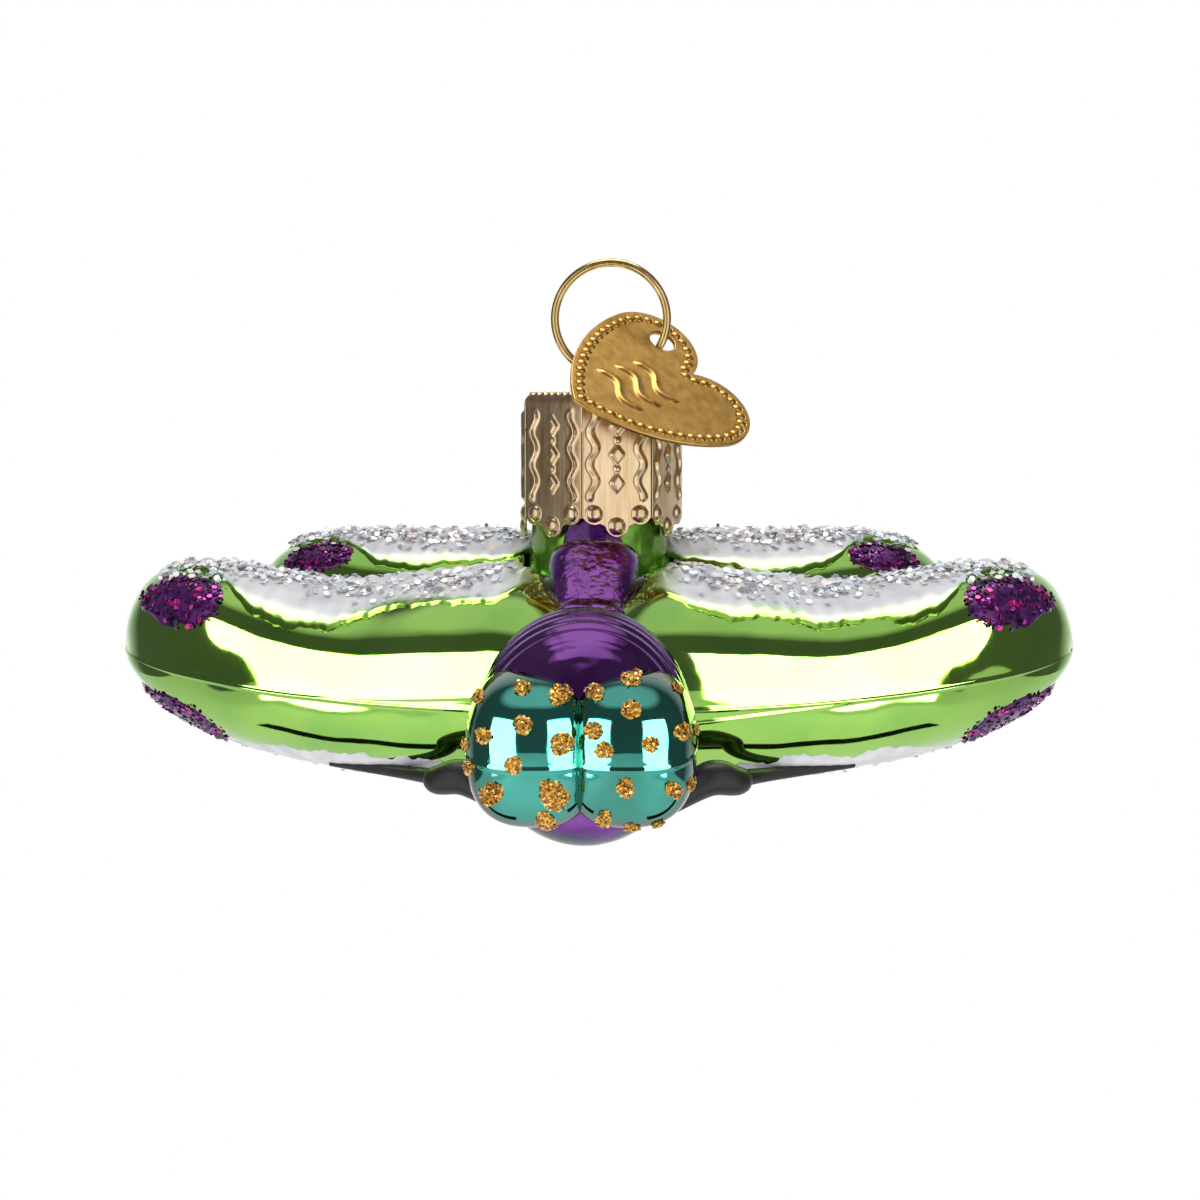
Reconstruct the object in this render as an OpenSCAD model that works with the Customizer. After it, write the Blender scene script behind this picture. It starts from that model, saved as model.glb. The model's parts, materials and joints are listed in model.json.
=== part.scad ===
// Blown glass dragonfly ornament, hanging nose-down from a stamped cap.
// X runs to the dragonfly's left wing, +Y to its tail and +Z up.
// The origin is inside the top of the wire loop, on the axis of the cap.

/* [Glass] */
// Wall of the blown glass
glass_wall = 1.0; // [0.8:0.1:1.4]
// Nose-down pitch of the dragonfly against the cap
pitch = 14; // [10:1:18]
// Height of the cap's petal tips above the parting plane, at the neck
petal_rise = 10.5; // [10.3:0.1:11.5]

/* [Fore wings] */
// Wing span, tip to tip
wing_span = 100; // [92:1:108]
// Chord of a fore wing
fore_chord = 22; // [20:0.5:23]
// Place of a fore wing's middle at its root, along the body
fore_root_y = -17; // [-18:0.5:-16.5]
// How far a fore wing's tip is swept back
fore_sweep = 12; // [9:0.5:14]
// Height of a fore wing above the parting plane
fore_top = 10; // [9:0.1:10.6]
// Depth of a fore wing below the parting plane
fore_bottom = 10.1; // [9:0.1:10.6]

/* [Hind wings] */
// Span of the hind wings, tip to tip
hind_span = 75; // [66:1:82]
// Chord of a hind wing
hind_chord = 17.6; // [16:0.5:18]
// Place of a hind wing's middle at its root, along the body
hind_root_y = 3.8; // [3.5:0.1:4.1]
// How far a hind wing's tip is swept back
hind_sweep = 4.5; // [3:0.5:6]
// Height of a hind wing above the parting plane
hind_top = 9.2; // [8.6:0.1:10]
// Depth of a hind wing below the parting plane
hind_bottom = 8.4; // [7:0.1:9]

/* [Thorax and eyes] */
// Distance of the thorax in front of the neck
thorax_y = 33; // [32:0.5:34]
// Width of the thorax
thorax_w = 21.6; // [20:0.2:23]
// Length of the thorax
thorax_l = 23; // [22:0.2:24]
// Height of the thorax
thorax_h = 24.6; // [23:0.2:26]
// Distance of the eyes in front of the thorax
eye_reach = 6.5; // [6:0.1:7.5]
// Distance from one eye's middle to the other's
eye_spread = 9.4; // [9:0.1:10]
// Width of one eye
eye_w = 13.6; // [13:0.1:14.5]
// Length of one eye
eye_l = 16.2; // [15:0.2:18]
// Height of one eye
eye_h = 15.4; // [15:0.1:16.5]

/* [Body and tail] */
// Width of the waist behind the thorax
waist_w = 7.4; // [7:0.2:8.4]
// Width of the back under the neck
back_w = 10; // [9:0.2:11]
// Height of the back in front of the neck
back_top = 12.3; // [11.5:0.1:12.4]
// Depth of the back below the parting plane
back_bottom = 7.8; // [7:0.1:8.2]
// Where the tail starts, behind the neck
tail_start = 13.4; // [13.3:0.1:14.5]
// Length of the tail
tail_l = 31; // [25:1:40]
// Thickness of the tail where it starts
tail_d = 10; // [9:0.2:11]
// Thickness of the tail at its tip
tail_tip_d = 5; // [4:0.2:6]
// Rings along the tail
tail_rings = 7; // [5:1:9]

/* [Coatings] */
// Thickness of the white enamel
enamel_t = 0.25; // [0.2:0.05:0.4]
// Thickness of the silver glitter, on the enamel
glitter_t = 0.35; // [0.3:0.05:0.5]
// Thickness of the purple glitter spots
spot_t = 0.4; // [0.3:0.05:0.6]
// Width of the silver glitter bands
band_w = 2.6; // [2:0.2:3.4]
// Length of a fore wing's purple spot
spot_l = 10.6; // [9:0.2:11]
// Width of a fore wing's purple spot, seen from above
spot_w = 4; // [3.4:0.2:4.4]
// Height of a gold dot over the eye
dot_rise = 0.5; // [0.3:0.05:0.7]

/* [Neck and cap] */
// Cap, across its corners
cap_d = 17.9; // [17.2:0.1:18.6]
// Height of the cap
cap_h = 15.3; // [14.5:0.1:17]
// Clearance between the neck and the cap's flats
neck_clear = 0.5; // [0.4:0.05:0.8]
// Turn of the cap on the neck
cap_turn = 16; // [0:1:50]
// Thickness of the cap's sheet
cap_t = 0.35; // [0.3:0.05:0.45]
// Radius of the cap's round shoulder
shoulder_h = 1.3; // [1:0.1:1.8]
// Gap between two petals
slit_w = 0.35; // [0.25:0.05:0.5]
// Diameter of a petal's beads
bead_d = 1.7; // [1.4:0.1:1.8]
// Clearance between the neck's rim and the cap's shoulder
seat_clear = 0.3; // [0.2:0.05:0.5]

/* [Hanger] */
// Radius of the loop, to the middle of the wire
loop_r = 5.95; // [5.6:0.05:7]
// Diameter of the wire
wire_d = 0.92; // [0.8:0.02:1]
// How far the loop leans to the right of the cap's axis
loop_lean = 1.2; // [0.6:0.1:1.6]
// Height of the loop's middle above the cap
loop_rise = 7.75; // [7.4:0.05:8.6]
// Distance between the two wire holes in the cap
hole_spread = 3.4; // [3:0.2:4]
// Clearance of the wire in its holes
wire_clear = 0.12; // [0.08:0.02:0.2]
// How far the spring legs reach below the cap's top
leg_l = 13; // [11:0.5:14]
// Clearance between the spring legs and the neck's bore
leg_clear = 0.3; // [0.2:0.05:0.5]

/* [Tag] */
// Length of the heart, from its point to its lobes
tag_l = 20; // [19.4:0.1:20.6]
// Radius of a lobe
lobe_r = 5.3; // [5.1:0.05:5.6]
// Distance between the lobes' middles
lobe_spread = 9.6; // [9.2:0.1:10]
// Radius of the heart's long sides
side_r = 18.3; // [17:0.1:20]
// Thickness of the tag
tag_t = 0.5; // [0.4:0.05:0.7]
// Diameter of the hole for the wire
tag_hole_d = 2.6; // [2.4:0.1:2.8]
// Where the hole sits on the loop, below its middle
tag_angle = 30; // [27:1:31]

/* [Hidden] */

green = "#8bc63f";
purple = "#6b2a86";
teal = "#1f9a88";
white = "#dcdce2";
silver = "#c9ccd6";
magenta = "#7a1d7c";
gold = "#d89a2c";
brass = "#c9a45c";
black = "#1e1a18";

// Heights of the hardware, down from the inside of the loop.
loop_in_r = loop_r - wire_d / 2;
loop_z = -sqrt(loop_in_r * loop_in_r - loop_lean * loop_lean);
cap_top_z = loop_z - loop_rise;
cap_tip_z = cap_top_z - cap_h;
parting_z = cap_tip_z - petal_rise;
// The neck stands on a collar of the back, which ends this far under the petal tips.
collar_drop = 0.7;
collar_rise = petal_rise - collar_drop;
neck_seat_z = parting_z + collar_rise;
// The cap has seven flat petals, and the neck fits inside its flats.
petals = 7;
half_petal = 180 / petals;
cap_flat = cap_d / 2 * cos(half_petal);
neck_d = 2 * (cap_flat - cap_t - neck_clear);
neck_bore_r = neck_d / 2 - glass_wall;
// The neck's rim ends under the round shoulder, where it leaves the clearance.
shoulder_z = cap_top_z - shoulder_h;
shoulder_in = shoulder_h - cap_t / cos(half_petal);
rim_reach = max(0, neck_d / 2 / cos(half_petal) - cap_d / 2 + shoulder_h);
neck_top_z = shoulder_z + sqrt(max(0, shoulder_in * shoulder_in - rim_reach * rim_reach)) - seat_clear;
leg_spread = 2 * (neck_bore_r - wire_d / 2 - leg_clear);

// A wing is [half span, root middle, sweep, half chord, top, bottom, dip depth, rise at the root, tip power].
fore = [wing_span / 2, fore_root_y, fore_sweep, fore_chord / 2, fore_top, fore_bottom, 0.14, 0.16, 14];
hind = [hind_span / 2, hind_root_y, hind_sweep, hind_chord / 2, hind_top, hind_bottom, 0, 0, 8];
// Where along the span the top dips and rises, and how widely.
dip_share = 0.54;
dip_w = 9;
rise_w = 12;
// The wings start inside the back, and their hollows on its middle plane.
root_x = 0.8;
fine = [10, 20];
coarse = [6, 12];
// Facets round each blown form, outside and in its hollow.
thorax_facets = 26;
eye_facets = 20;
back_facets = 20;
collar_facets = 28;
hollow_facets = 18;
root_groove = 0.32;
groove_w = 5;
plan_power = 3.2;
end_share = 0.998;
front_power = 2.6;
top_lean = 0.12;

function unit(v) = v / norm(v);
function signed_pow(v, p) = sign(v) * pow(abs(v), p);
function bump(x, place, width) = exp(-pow((x - place) / width, 2));
// A wing with its surface moved inwards by d, or outwards where d is negative.
function shrink(w, d) = [w[0] - d, w[1], w[2], w[3] - d, w[4] - d, w[5] - d, w[6], w[7], w[8]];
function wing_mid(w, x) = w[1] + w[2] * pow(x / w[0], 2);
function wing_half(w, x) = w[3] * sqrt(1 - pow(x / w[0], plan_power));
function groove(x) = 1 - root_groove * bump(x, 0, groove_w);
function crest(w, x) = (1 - w[6] * bump(x, dip_share * w[0], dip_w)) * (1 + w[7] * bump(x, 0, rise_w));
function wing_top(w, x) = w[4] * crest(w, x) * groove(x) * sqrt(1 - pow(x / w[0], w[8]));
function wing_bottom(w, x) = w[5] * groove(x) * pow(1 - pow(x / w[0], 4.5), 0.6);
// One rounded section of a wing, across the body, with the leading edge first.
function wing_ring(w, x, count) = [
    for (j = [0 : count - 1])
    let (t = 360 * j / count, e = -signed_pow(cos(t), 2 / front_power), u = signed_pow(sin(t), 2 / front_power))
    [x, wing_mid(w, x) + wing_half(w, x) * e, (u > 0 ? wing_top(w, x) : wing_bottom(w, x)) * u * (1 + top_lean * e)]
];
function wing_rings(w, grid, start) = [
    for (i = [0 : grid[0]])
    wing_ring(w, start + (w[0] * end_share - start) * sin(90 * i / grid[0]), grid[1])
];

// A skin over a row of rings, closed at both ends.
module skin(rings) {
    n = len(rings);
    m = len(rings[0]);
    sides = [
        for (i = [0 : n - 2], j = [0 : m - 1])
        let (k = (j + 1) % m)
        each [[i * m + j, i * m + k, (i + 1) * m + k], [i * m + j, (i + 1) * m + k, (i + 1) * m + j]]
    ];
    ends = [[for (j = [m - 1 : -1 : 0]) j], [for (j = [0 : m - 1]) (n - 1) * m + j]];
    polyhedron([for (ring = rings) each ring], concat(sides, ends));
}

// Turns the dragonfly nose-down and hangs it under the neck.
module on_body() {
    translate([0, 0, parting_z]) rotate([pitch, 0, 0]) children();
}

// Sets one side's shapes on the left, or mirrors them to the right.
module on_side(side) {
    if (side < 0) mirror([1, 0, 0]) children();
    else children();
}

// One faceted skin out of blown forms that cut each other. Zeros keep the size as it is.
module blown() {
    resize([0, 0, 0]) children();
}

module wing(w, grid = fine, start = root_x) {
    skin(wing_rings(w, grid, start));
}

// The ellipsoid of the thorax, moved inwards by d.
module thorax_form(d, facets) {
    translate([0, -thorax_y, 0])
    scale([thorax_w / 2 - d, thorax_l / 2 - d, thorax_h / 2 - d])
    sphere(1, $fn = facets);
}

eye_y = -thorax_y - eye_reach;
eye_power = 2.6;
// The full form of the left eye, moved inwards by d: rings from its inner to its outer side.
module eye_form(d, facets) {
    half = [eye_w / 2 - d, eye_l / 2 - d, eye_h / 2 - d];
    count = facets / 2;
    skin([
        for (i = [0 : count])
        let (u = -end_share * cos(180 * i / count), f = pow(1 - pow(abs(u), eye_power), 1 / eye_power))
        [
            for (j = [0 : facets - 1])
            let (t = 360 * j / facets)
            [
                eye_spread / 2 + half[0] * u,
                eye_y - half[1] * f * signed_pow(cos(t), 2 / eye_power),
                half[2] * f * signed_pow(sin(t), 2 / eye_power)
            ]
        ]
    ]);
}

// The back between the wings: [place along the body, half width, top, bottom].
back_stations = [
    [-26, waist_w / 2 + 0.8, back_top - 4.5, back_bottom - 0.6],
    [-22, waist_w / 2 + 0.1, back_top - 3.7, back_bottom - 0.3],
    [-18, waist_w / 2, back_top - 2.5, back_bottom - 0.1],
    [-13, back_w / 2 - 0.4, back_top - 0.7, back_bottom],
    [-9, back_w / 2, back_top, back_bottom],
    [-4, back_w / 2, back_top - 1.4, back_bottom],
    [4, back_w / 2, back_top - 3.7, back_bottom - 1.2],
    [tail_start, tail_d / 2, tail_d / 2, tail_d / 2]
];
back_power = 3.4;
belly_power = 3.4;
function back_ring(s, d, count) = [
    for (j = [0 : count - 1])
    let (t = 360 * j / count, p = sin(t) > 0 ? back_power : belly_power, q = s[0] < tail_start ? p : 2)
    [
        (s[1] - d) * signed_pow(cos(t), 2 / q),
        s[0],
        (sin(t) > 0 ? s[2] - d : s[3] - d) * signed_pow(sin(t), 2 / q)
    ]
];
module back_form() {
    skin([for (s = back_stations) back_ring(s, 0, back_facets)]);
}

// The hollow left by the breath: wings, eyes, thorax and back joined inside.
module wing_hollows() {
    for (side = [1, -1]) on_side(side) {
        wing(shrink(fore, glass_wall), coarse, 0);
        wing(shrink(hind, glass_wall), coarse, 0);
    }
}
module eye_hollows() {
    for (side = [1, -1]) on_side(side) eye_form(glass_wall, hollow_facets);
}
// The hollow of the back runs on past both ends, into the thorax and the tail.
module back_hollow() {
    first = back_stations[0];
    last = back_stations[len(back_stations) - 1];
    stations = concat(
        [[first[0] - 2, first[1], first[2], first[3]]],
        back_stations,
        [[last[0] + 1, last[1], last[2], last[3]]]
    );
    skin([for (s = stations) back_ring(s, glass_wall, hollow_facets)]);
}
// The round column of glass under the neck, in the frame of the body.
module collar_form(r, low, high) {
    rotate([-pitch, 0, 0]) translate([0, 0, low]) cylinder(h = high - low, r = r, $fn = collar_facets);
}

module thorax() {
    color(purple) on_body() blown() difference() {
        thorax_form(0, thorax_facets);
        thorax_form(glass_wall, hollow_facets);
        wing_hollows();
        eye_hollows();
        back_hollow();
    }
}

module eye(side) {
    color(teal) on_body() on_side(side) blown() difference() {
        eye_form(0, eye_facets);
        eye_form(glass_wall, hollow_facets);
        thorax_form(0, thorax_facets);
        translate([-eye_w, 2 * eye_y, -eye_h]) cube([eye_w, -2 * eye_y, 2 * eye_h]);
    }
}

module mid_body() {
    color(purple) on_body() blown() difference() {
        union() {
            back_form();
            collar_form(neck_d / 2, 3, collar_rise);
        }
        back_hollow();
        collar_form(neck_bore_r, 0, collar_rise + 1);
        wing_hollows();
        thorax_form(0, thorax_facets);
    }
}

// The ringed tail: one turned profile, open at the front where it joins the back.
module tail() {
    bulge = 0.5;
    steps = 6;
    function tail_r(s) = tail_d / 2 + (tail_tip_d - tail_d) / 2 * s + bulge * (abs(sin(180 * tail_rings * s)) - 0.5) * min(1, 12 * s);
    reach = tail_l - tail_tip_d / 2;
    outer = [for (i = [0 : tail_rings * steps]) let (s = i / (tail_rings * steps)) [tail_r(s), reach * s]];
    tip_r = tail_r(1);
    tip = [for (a = [15 : 15 : 90]) [tip_r * cos(a), reach + (tail_l - reach) * sin(a)]];
    inner = [[0, reach], [tail_tip_d / 2 - glass_wall, reach - glass_wall], [tail_d / 2 - glass_wall, 0]];
    color(purple) on_body() translate([0, tail_start, 0]) rotate([-90, 0, 0])
        rotate_extrude($fn = 64) polygon(concat(outer, tip, inner));
}

// The straight neck that the cap covers, open at its top.
module neck() {
    color(silver) translate([0, 0, neck_seat_z]) difference() {
        cylinder(h = neck_top_z - neck_seat_z, d = neck_d, $fn = 96);
        translate([0, 0, -1]) cylinder(h = cap_h + petal_rise, r = neck_bore_r, $fn = 96);
    }
}

module glass_wing(w, side) {
    color(green) on_body() blown() difference() {
        on_side(side) difference() {
            wing(w);
            wing(shrink(w, glass_wall), coarse, 0);
        }
        thorax_form(0, thorax_facets);
        back_form();
        collar_form(neck_d / 2, 3, collar_rise);
    }
}

// Legs in relief under the wings: each is a row of [place, radius].
leg_rows = [
    [[[8.6, -31, -8.8], 1], [[12.4, -30, -6.2], 1.8], [[15.2, -29, -6.8], 1.5], [[16.5, -25.5, -7.8], 0.9], [[27, -19.5, -8.4], 0.5]],
    [[[8, -25, -8.6], 1.2], [[13.5, -18, -8.8], 1], [[21, -13.5, -8.6], 0.5]],
    [[[5, -13, -7.8], 1.1], [[9, -8, -8.6], 0.9], [[13, -6, -7.6], 0.5]]
];
module leg_form() {
    for (row = leg_rows, i = [0 : len(row) - 2])
        hull() for (end = [row[i], row[i + 1]]) translate(end[0]) sphere(end[1], $fn = 8);
}
module legs(side) {
    color(black) on_body() blown() difference() {
        on_side(side) difference() {
            leg_form();
            wing(fore);
            wing(hind);
        }
        thorax_form(0, thorax_facets);
        back_form();
        collar_form(neck_d / 2, 3, collar_rise);
    }
}

// A coat on both faces of a wing, from one height to another, inside a flat outline and clear of the legs.
module coat(w, side, low, high) {
    on_body() on_side(side) blown() difference() {
        intersection() {
            wing(shrink(w, -high));
            linear_extrude(60, center = true) children();
        }
        wing(shrink(w, -low));
        leg_form();
    }
}

// The enamel lies on the crest, and its front edge turns back round the spot at the tip.
enamel_from = 0.2;
enamel_to = 0.9;
enamel_back = 0.84;
band_place = 0.3;
band_margin = 0.02;
outline_steps = 8;
function enamel_front(w, x) = -0.42 + 0.45 * pow(x / (enamel_to * w[0]), 8);
function on_chord(w, x, share) = [x, wing_mid(w, x) + wing_half(w, x) * share];
function along(w, from, to) = [for (i = [0 : outline_steps]) w[0] * (from + (to - from) * i / outline_steps)];
function backwards(list) = [for (i = [len(list) - 1 : -1 : 0]) list[i]];
module enamel_outline(w) {
    xs = along(w, enamel_from, enamel_to);
    polygon(concat(
        [for (x = xs) on_chord(w, x, enamel_front(w, x))],
        [for (x = backwards(xs)) on_chord(w, x, enamel_back)]
    ));
}
module band_outline(w) {
    xs = along(w, enamel_from + band_margin, enamel_to - band_margin);
    half_band = band_w / 2 / w[3];
    polygon(concat(
        [for (x = xs) on_chord(w, x, band_place - half_band)],
        [for (x = backwards(xs)) on_chord(w, x, band_place + half_band)]
    ));
}
spot_inset = 7;
spot_place = -0.5;
module spot_outline(w) {
    size = w[0] / (wing_span / 2);
    x = w[0] - spot_inset;
    translate(on_chord(w, x, spot_place)) rotate(38)
        scale([spot_l * size, spot_w * size]) circle(d = 1, $fn = 14);
}

module wing_enamel(w, side) {
    color(white) coat(w, side, 0, enamel_t) enamel_outline(w);
}

module wing_glitter(w, side) {
    color(silver) coat(w, side, enamel_t, enamel_t + glitter_t) band_outline(w);
}

module wing_spots(w, side) {
    color(magenta) coat(w, side, 0, spot_t) difference() {
        spot_outline(w);
        enamel_outline(w);
    }
}

// Gold dots on each eye: [outwards or right, up, diameter], as seen from the front.
left_dots = [
    [-2.8, 4.8, 1.8], [0.4, 6.6, 2.2], [4.8, 5.6, 1.5], [0.5, 3.3, 1.9], [-2.8, 1.4, 1.7],
    [5, 1.3, 1.7], [7.1, 1.8, 1.4], [-1.9, -0.4, 1.8], [2.3, 0.2, 1.6], [0, -3.9, 1.9],
    [4.2, -3.8, 1.5], [6.1, -3.5, 1.4], [-2, -6.4, 1.5], [0.4, -7.8, 1.8], [2.9, -7.3, 1.4]
];
right_dots = [
    [-0.8, 5.4, 1.6], [2.6, 4.6, 2.2], [-5, 4.5, 1.6], [-0.6, 1.9, 1.9], [-4.1, 0.9, 1.6],
    [2.9, 0.2, 2.3], [-6.5, 0.2, 1.4], [-1.5, -1.8, 1.9], [-5.8, -1.9, 1.4], [-3.5, -4.2, 2.2],
    [2.1, -4.4, 2.9], [1.3, -6.8, 2]
];
dot_tilt = 18;
// The place on the eye where a dot sits, turned up to face the view from above.
function dot_place(dot) =
    let (
        a = dot[0] / (eye_w / 2),
        b = dot[1] / (eye_h / 2),
        r = max(1, sqrt(a * a + b * b) / 0.96),
        depth = -sqrt(1 - (a * a + b * b) / (r * r)),
        y = depth * cos(dot_tilt) + b / r * sin(dot_tilt),
        z = b / r * cos(dot_tilt) - depth * sin(dot_tilt),
        p = eye_power,
        k = pow(pow(abs(a / r), p) + pow(abs(y), p) + pow(abs(z), p), -1 / p)
    )
    k * [a / r * eye_w / 2, y * eye_l / 2, z * eye_h / 2];

// The way out of the eye at a place on it.
function eye_normal(place) = unit([
    for (i = [0 : 2])
    let (half = [eye_w, eye_l, eye_h][i] / 2)
    signed_pow(place[i] / half, eye_power - 1) / half
]);
// Flat drops, each seated on the eye.
module eye_dots(side, dots) {
    color(gold) on_body() translate([side * eye_spread / 2, eye_y, 0]) for (dot = dots) {
        place = dot_place(dot);
        out = eye_normal(place);
        translate(place) rotate([0, acos(out[2]), atan2(out[1], out[0])])
            cylinder(h = dot_rise, d1 = dot[2], d2 = 0.6 * dot[2], $fn = 24);
    }
}

// The stamped cap: a seven-sided shell, slit into petals whose tips follow three beads.
petal_w = cap_d * sin(half_petal);
slit_top = 3;
bead_rise = 0.45;
// Beads on a petal: [share of half its width, height over its tip], and the sheet left round and between them.
petal_beads = [[-0.63, 2.5], [0, 1.2], [0.63, 2.5]];
bead_edge_r = bead_d / 2 + 0.35;
bead_web_r = bead_d / 2 - 0.15;
petal_corner = 2;
function shoulder_arc(r) = [for (a = [0 : 15 : 90]) [cap_d / 2 - shoulder_h + r * cos(a), shoulder_z + r * sin(a)]];
module cap_shell() {
    outer = shoulder_arc(shoulder_h);
    inner = shoulder_arc(shoulder_in);
    rotate([0, 0, half_petal - 90]) rotate_extrude($fn = petals) polygon(concat(
        [[cap_d / 2, cap_tip_z]], outer, [[0, cap_top_z], [0, shoulder_z + shoulder_in]],
        backwards(inner), [[cap_d / 2 - shoulder_h + shoulder_in, cap_tip_z]]
    ));
}
// What is cut away below one petal's tip: all but the sheet round its beads.
module petal_cutter() {
    translate([0, 2 * cap_t - cap_flat, cap_tip_z]) rotate([90, 0, 0]) linear_extrude(3 * cap_t) difference() {
        translate([-petal_w, -1]) square([2 * petal_w, petal_corner + 1]);
        for (bead = petal_beads) translate([bead[0] * petal_w / 2, bead[1]]) circle(bead_edge_r, $fn = 32);
        hull() for (bead = petal_beads) translate([bead[0] * petal_w / 2, bead[1]]) circle(bead_web_r, $fn = 32);
    }
}
module petal_bead(bead) {
    translate([bead[0] * petal_w / 2, -cap_flat - bead_rise + bead_d / 2, cap_tip_z + bead[1]]) intersection() {
        sphere(d = bead_d, $fn = 32);
        translate([-bead_d, -bead_d, -bead_d]) cube([2 * bead_d, bead_d + bead_rise - bead_d / 2 + cap_t / 2, 2 * bead_d]);
    }
}
module cap() {
    color(brass) difference() {
        rotate([0, 0, cap_turn]) union() {
            difference() {
                cap_shell();
                for (i = [0 : petals - 1]) rotate([0, 0, 360 * i / petals]) {
                    petal_cutter();
                    rotate([0, 0, half_petal]) translate([-slit_w / 2, -cap_d, cap_tip_z - 1])
                        cube([slit_w, cap_d, cap_h + 1 - shoulder_h - slit_top]);
                }
            }
            for (i = [0 : petals - 1], bead = petal_beads) rotate([0, 0, 360 * i / petals]) petal_bead(bead);
        }
        for (x = [-1, 1]) translate([x * hole_spread / 2, 0, cap_top_z - 2 * cap_t])
            cylinder(h = 3 * cap_t, d = wire_d + 2 * wire_clear, $fn = 32);
    }
}

// The wire's route, in the plane of the loop: up one leg, round the loop and down the other.
leg_bend = 4.5;
left_foot = 40;
right_foot = 22;
loop_steps = 24;
function on_loop(a) = [loop_lean + loop_r * sin(a), 0, loop_z - loop_r * cos(a)];
function spring_leg(side) = [
    [side * (leg_spread / 2 - 0.6), 0, cap_top_z - leg_l],
    [side * leg_spread / 2, 0, cap_top_z - leg_l + 1.4],
    [side * (hole_spread / 2 + 0.5), 0, cap_top_z - leg_bend - 0.8],
    [side * hole_spread / 2, 0, cap_top_z - leg_bend + 0.6],
    [side * hole_spread / 2, 0, cap_top_z + 0.4]
];
right_leg = spring_leg(1);
wire_route = concat(
    spring_leg(-1),
    [[-hole_spread / 2 - 0.1, 0, cap_top_z + 1.6], [-hole_spread / 2 - 0.4, 0, cap_top_z + 2.5]],
    [for (i = [0 : loop_steps]) on_loop(-left_foot - (360 - left_foot - right_foot) * i / loop_steps)],
    [[hole_spread / 2 + 0.6, 0, cap_top_z + 1.6], [hole_spread / 2 + 0.1, 0, cap_top_z + 1.1]],
    [for (i = [len(right_leg) - 1 : -1 : 0]) right_leg[i]]
);
// A round ring across the route at one of its points.
function wire_ring(i, count) =
    let (
        last = len(wire_route) - 1,
        along = unit(wire_route[min(last, i + 1)] - wire_route[max(0, i - 1)]),
        across = [along[2], 0, -along[0]]
    )
    [for (j = [0 : count - 1]) wire_route[i] + wire_d / 2 * (across * cos(360 * j / count) - [0, sin(360 * j / count), 0])];
module hanger_wire() {
    color(brass) skin([for (i = [0 : len(wire_route) - 1]) wire_ring(i, 8)]);
}

// The heart's edge: a long arc from its point, which runs into a lobe and round it to the notch, and back.
lobe_u = tag_l - lobe_r;
lobe_w = lobe_spread / 2;
lobe_far = norm([lobe_u, lobe_w]);
lobe_lean = atan2(lobe_w, lobe_u);
// The long arc's middle is side_r from the point, and side_r less lobe_r from the lobe's middle.
side_run = (side_r * side_r - pow(side_r - lobe_r, 2) + lobe_far * lobe_far) / (2 * lobe_far);
side_drop = sqrt(side_r * side_r - side_run * side_run);
side_mid = [
    side_run * cos(lobe_lean) + side_drop * sin(lobe_lean),
    side_run * sin(lobe_lean) - side_drop * cos(lobe_lean)
];
side_steps = 8;
lobe_steps = 18;
function arc_points(mid, r, from, to, steps) = [
    for (i = [0 : steps])
    let (a = from + (to - from) * i / steps)
    mid + r * [cos(a), sin(a)]
];
function heart_half() =
    let (
        start = atan2(-side_mid[1], -side_mid[0]),
        meet = atan2(lobe_w - side_mid[1], lobe_u - side_mid[0])
    )
    concat(
        arc_points(side_mid, side_r, start, meet, side_steps),
        [for (i = [1 : lobe_steps]) arc_points([lobe_u, lobe_w], lobe_r, meet, -asin(lobe_w / lobe_r), lobe_steps)[i]]
    );
heart_edge = let (half = heart_half(), n = len(half))
    concat(half, [for (i = [n - 2 : -1 : 1]) [half[i][0], -half[i][1]]]);
// Where the tag hangs on the loop, and how it turns to lean over the cap.
tag_turn = [43.7, -9, 44.6];
tag_hole = [16.6, 5.2];
tag_lift = 0.2;
tag_pivot = on_loop(90 - tag_angle);
module heart_tag() {
    color(brass) translate(tag_pivot) rotate(tag_turn) translate([-tag_hole[0], -tag_hole[1], tag_lift]) difference() {
        translate([0, 0, -tag_t / 2]) linear_extrude(tag_t) polygon(heart_edge);
        translate([tag_hole[0], tag_hole[1], -tag_t]) cylinder(h = 2 * tag_t, d = tag_hole_d, $fn = 48);
    }
}

thorax();
eye(1);  // left_eye
eye(-1);  // right_eye
mid_body();
tail();
neck();
glass_wing(fore, 1);  // left_forewing
glass_wing(fore, -1);  // right_forewing
glass_wing(hind, 1);  // left_hindwing
glass_wing(hind, -1);  // right_hindwing
wing_enamel(fore, 1);  // left_forewing_enamel
wing_enamel(fore, -1);  // right_forewing_enamel
wing_enamel(hind, 1);  // left_hindwing_enamel
wing_enamel(hind, -1);  // right_hindwing_enamel
wing_glitter(fore, 1);  // left_forewing_glitter
wing_glitter(fore, -1);  // right_forewing_glitter
wing_glitter(hind, 1);  // left_hindwing_glitter
wing_glitter(hind, -1);  // right_hindwing_glitter
wing_spots(fore, 1);  // left_forewing_spots
wing_spots(fore, -1);  // right_forewing_spots
wing_spots(hind, 1);  // left_hindwing_spots
wing_spots(hind, -1);  // right_hindwing_spots
eye_dots(1, left_dots);  // left_eye_dots
eye_dots(-1, right_dots);  // right_eye_dots
legs(1);  // left_legs
legs(-1);  // right_legs
cap();
hanger_wire();
heart_tag();
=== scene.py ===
# %% [markdown]
# # A blown glass dragonfly ornament
# The real piece is one bubble of glass blown into a mould. It is silvered inside, lacquered in clear
# colours outside, then touched up with white enamel and glitter. A stamped cap closes its neck and a
# wire loop carries it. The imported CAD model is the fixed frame: each piece below lies where a CAD node
# lies and moves with its body.

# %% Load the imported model
import json

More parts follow.
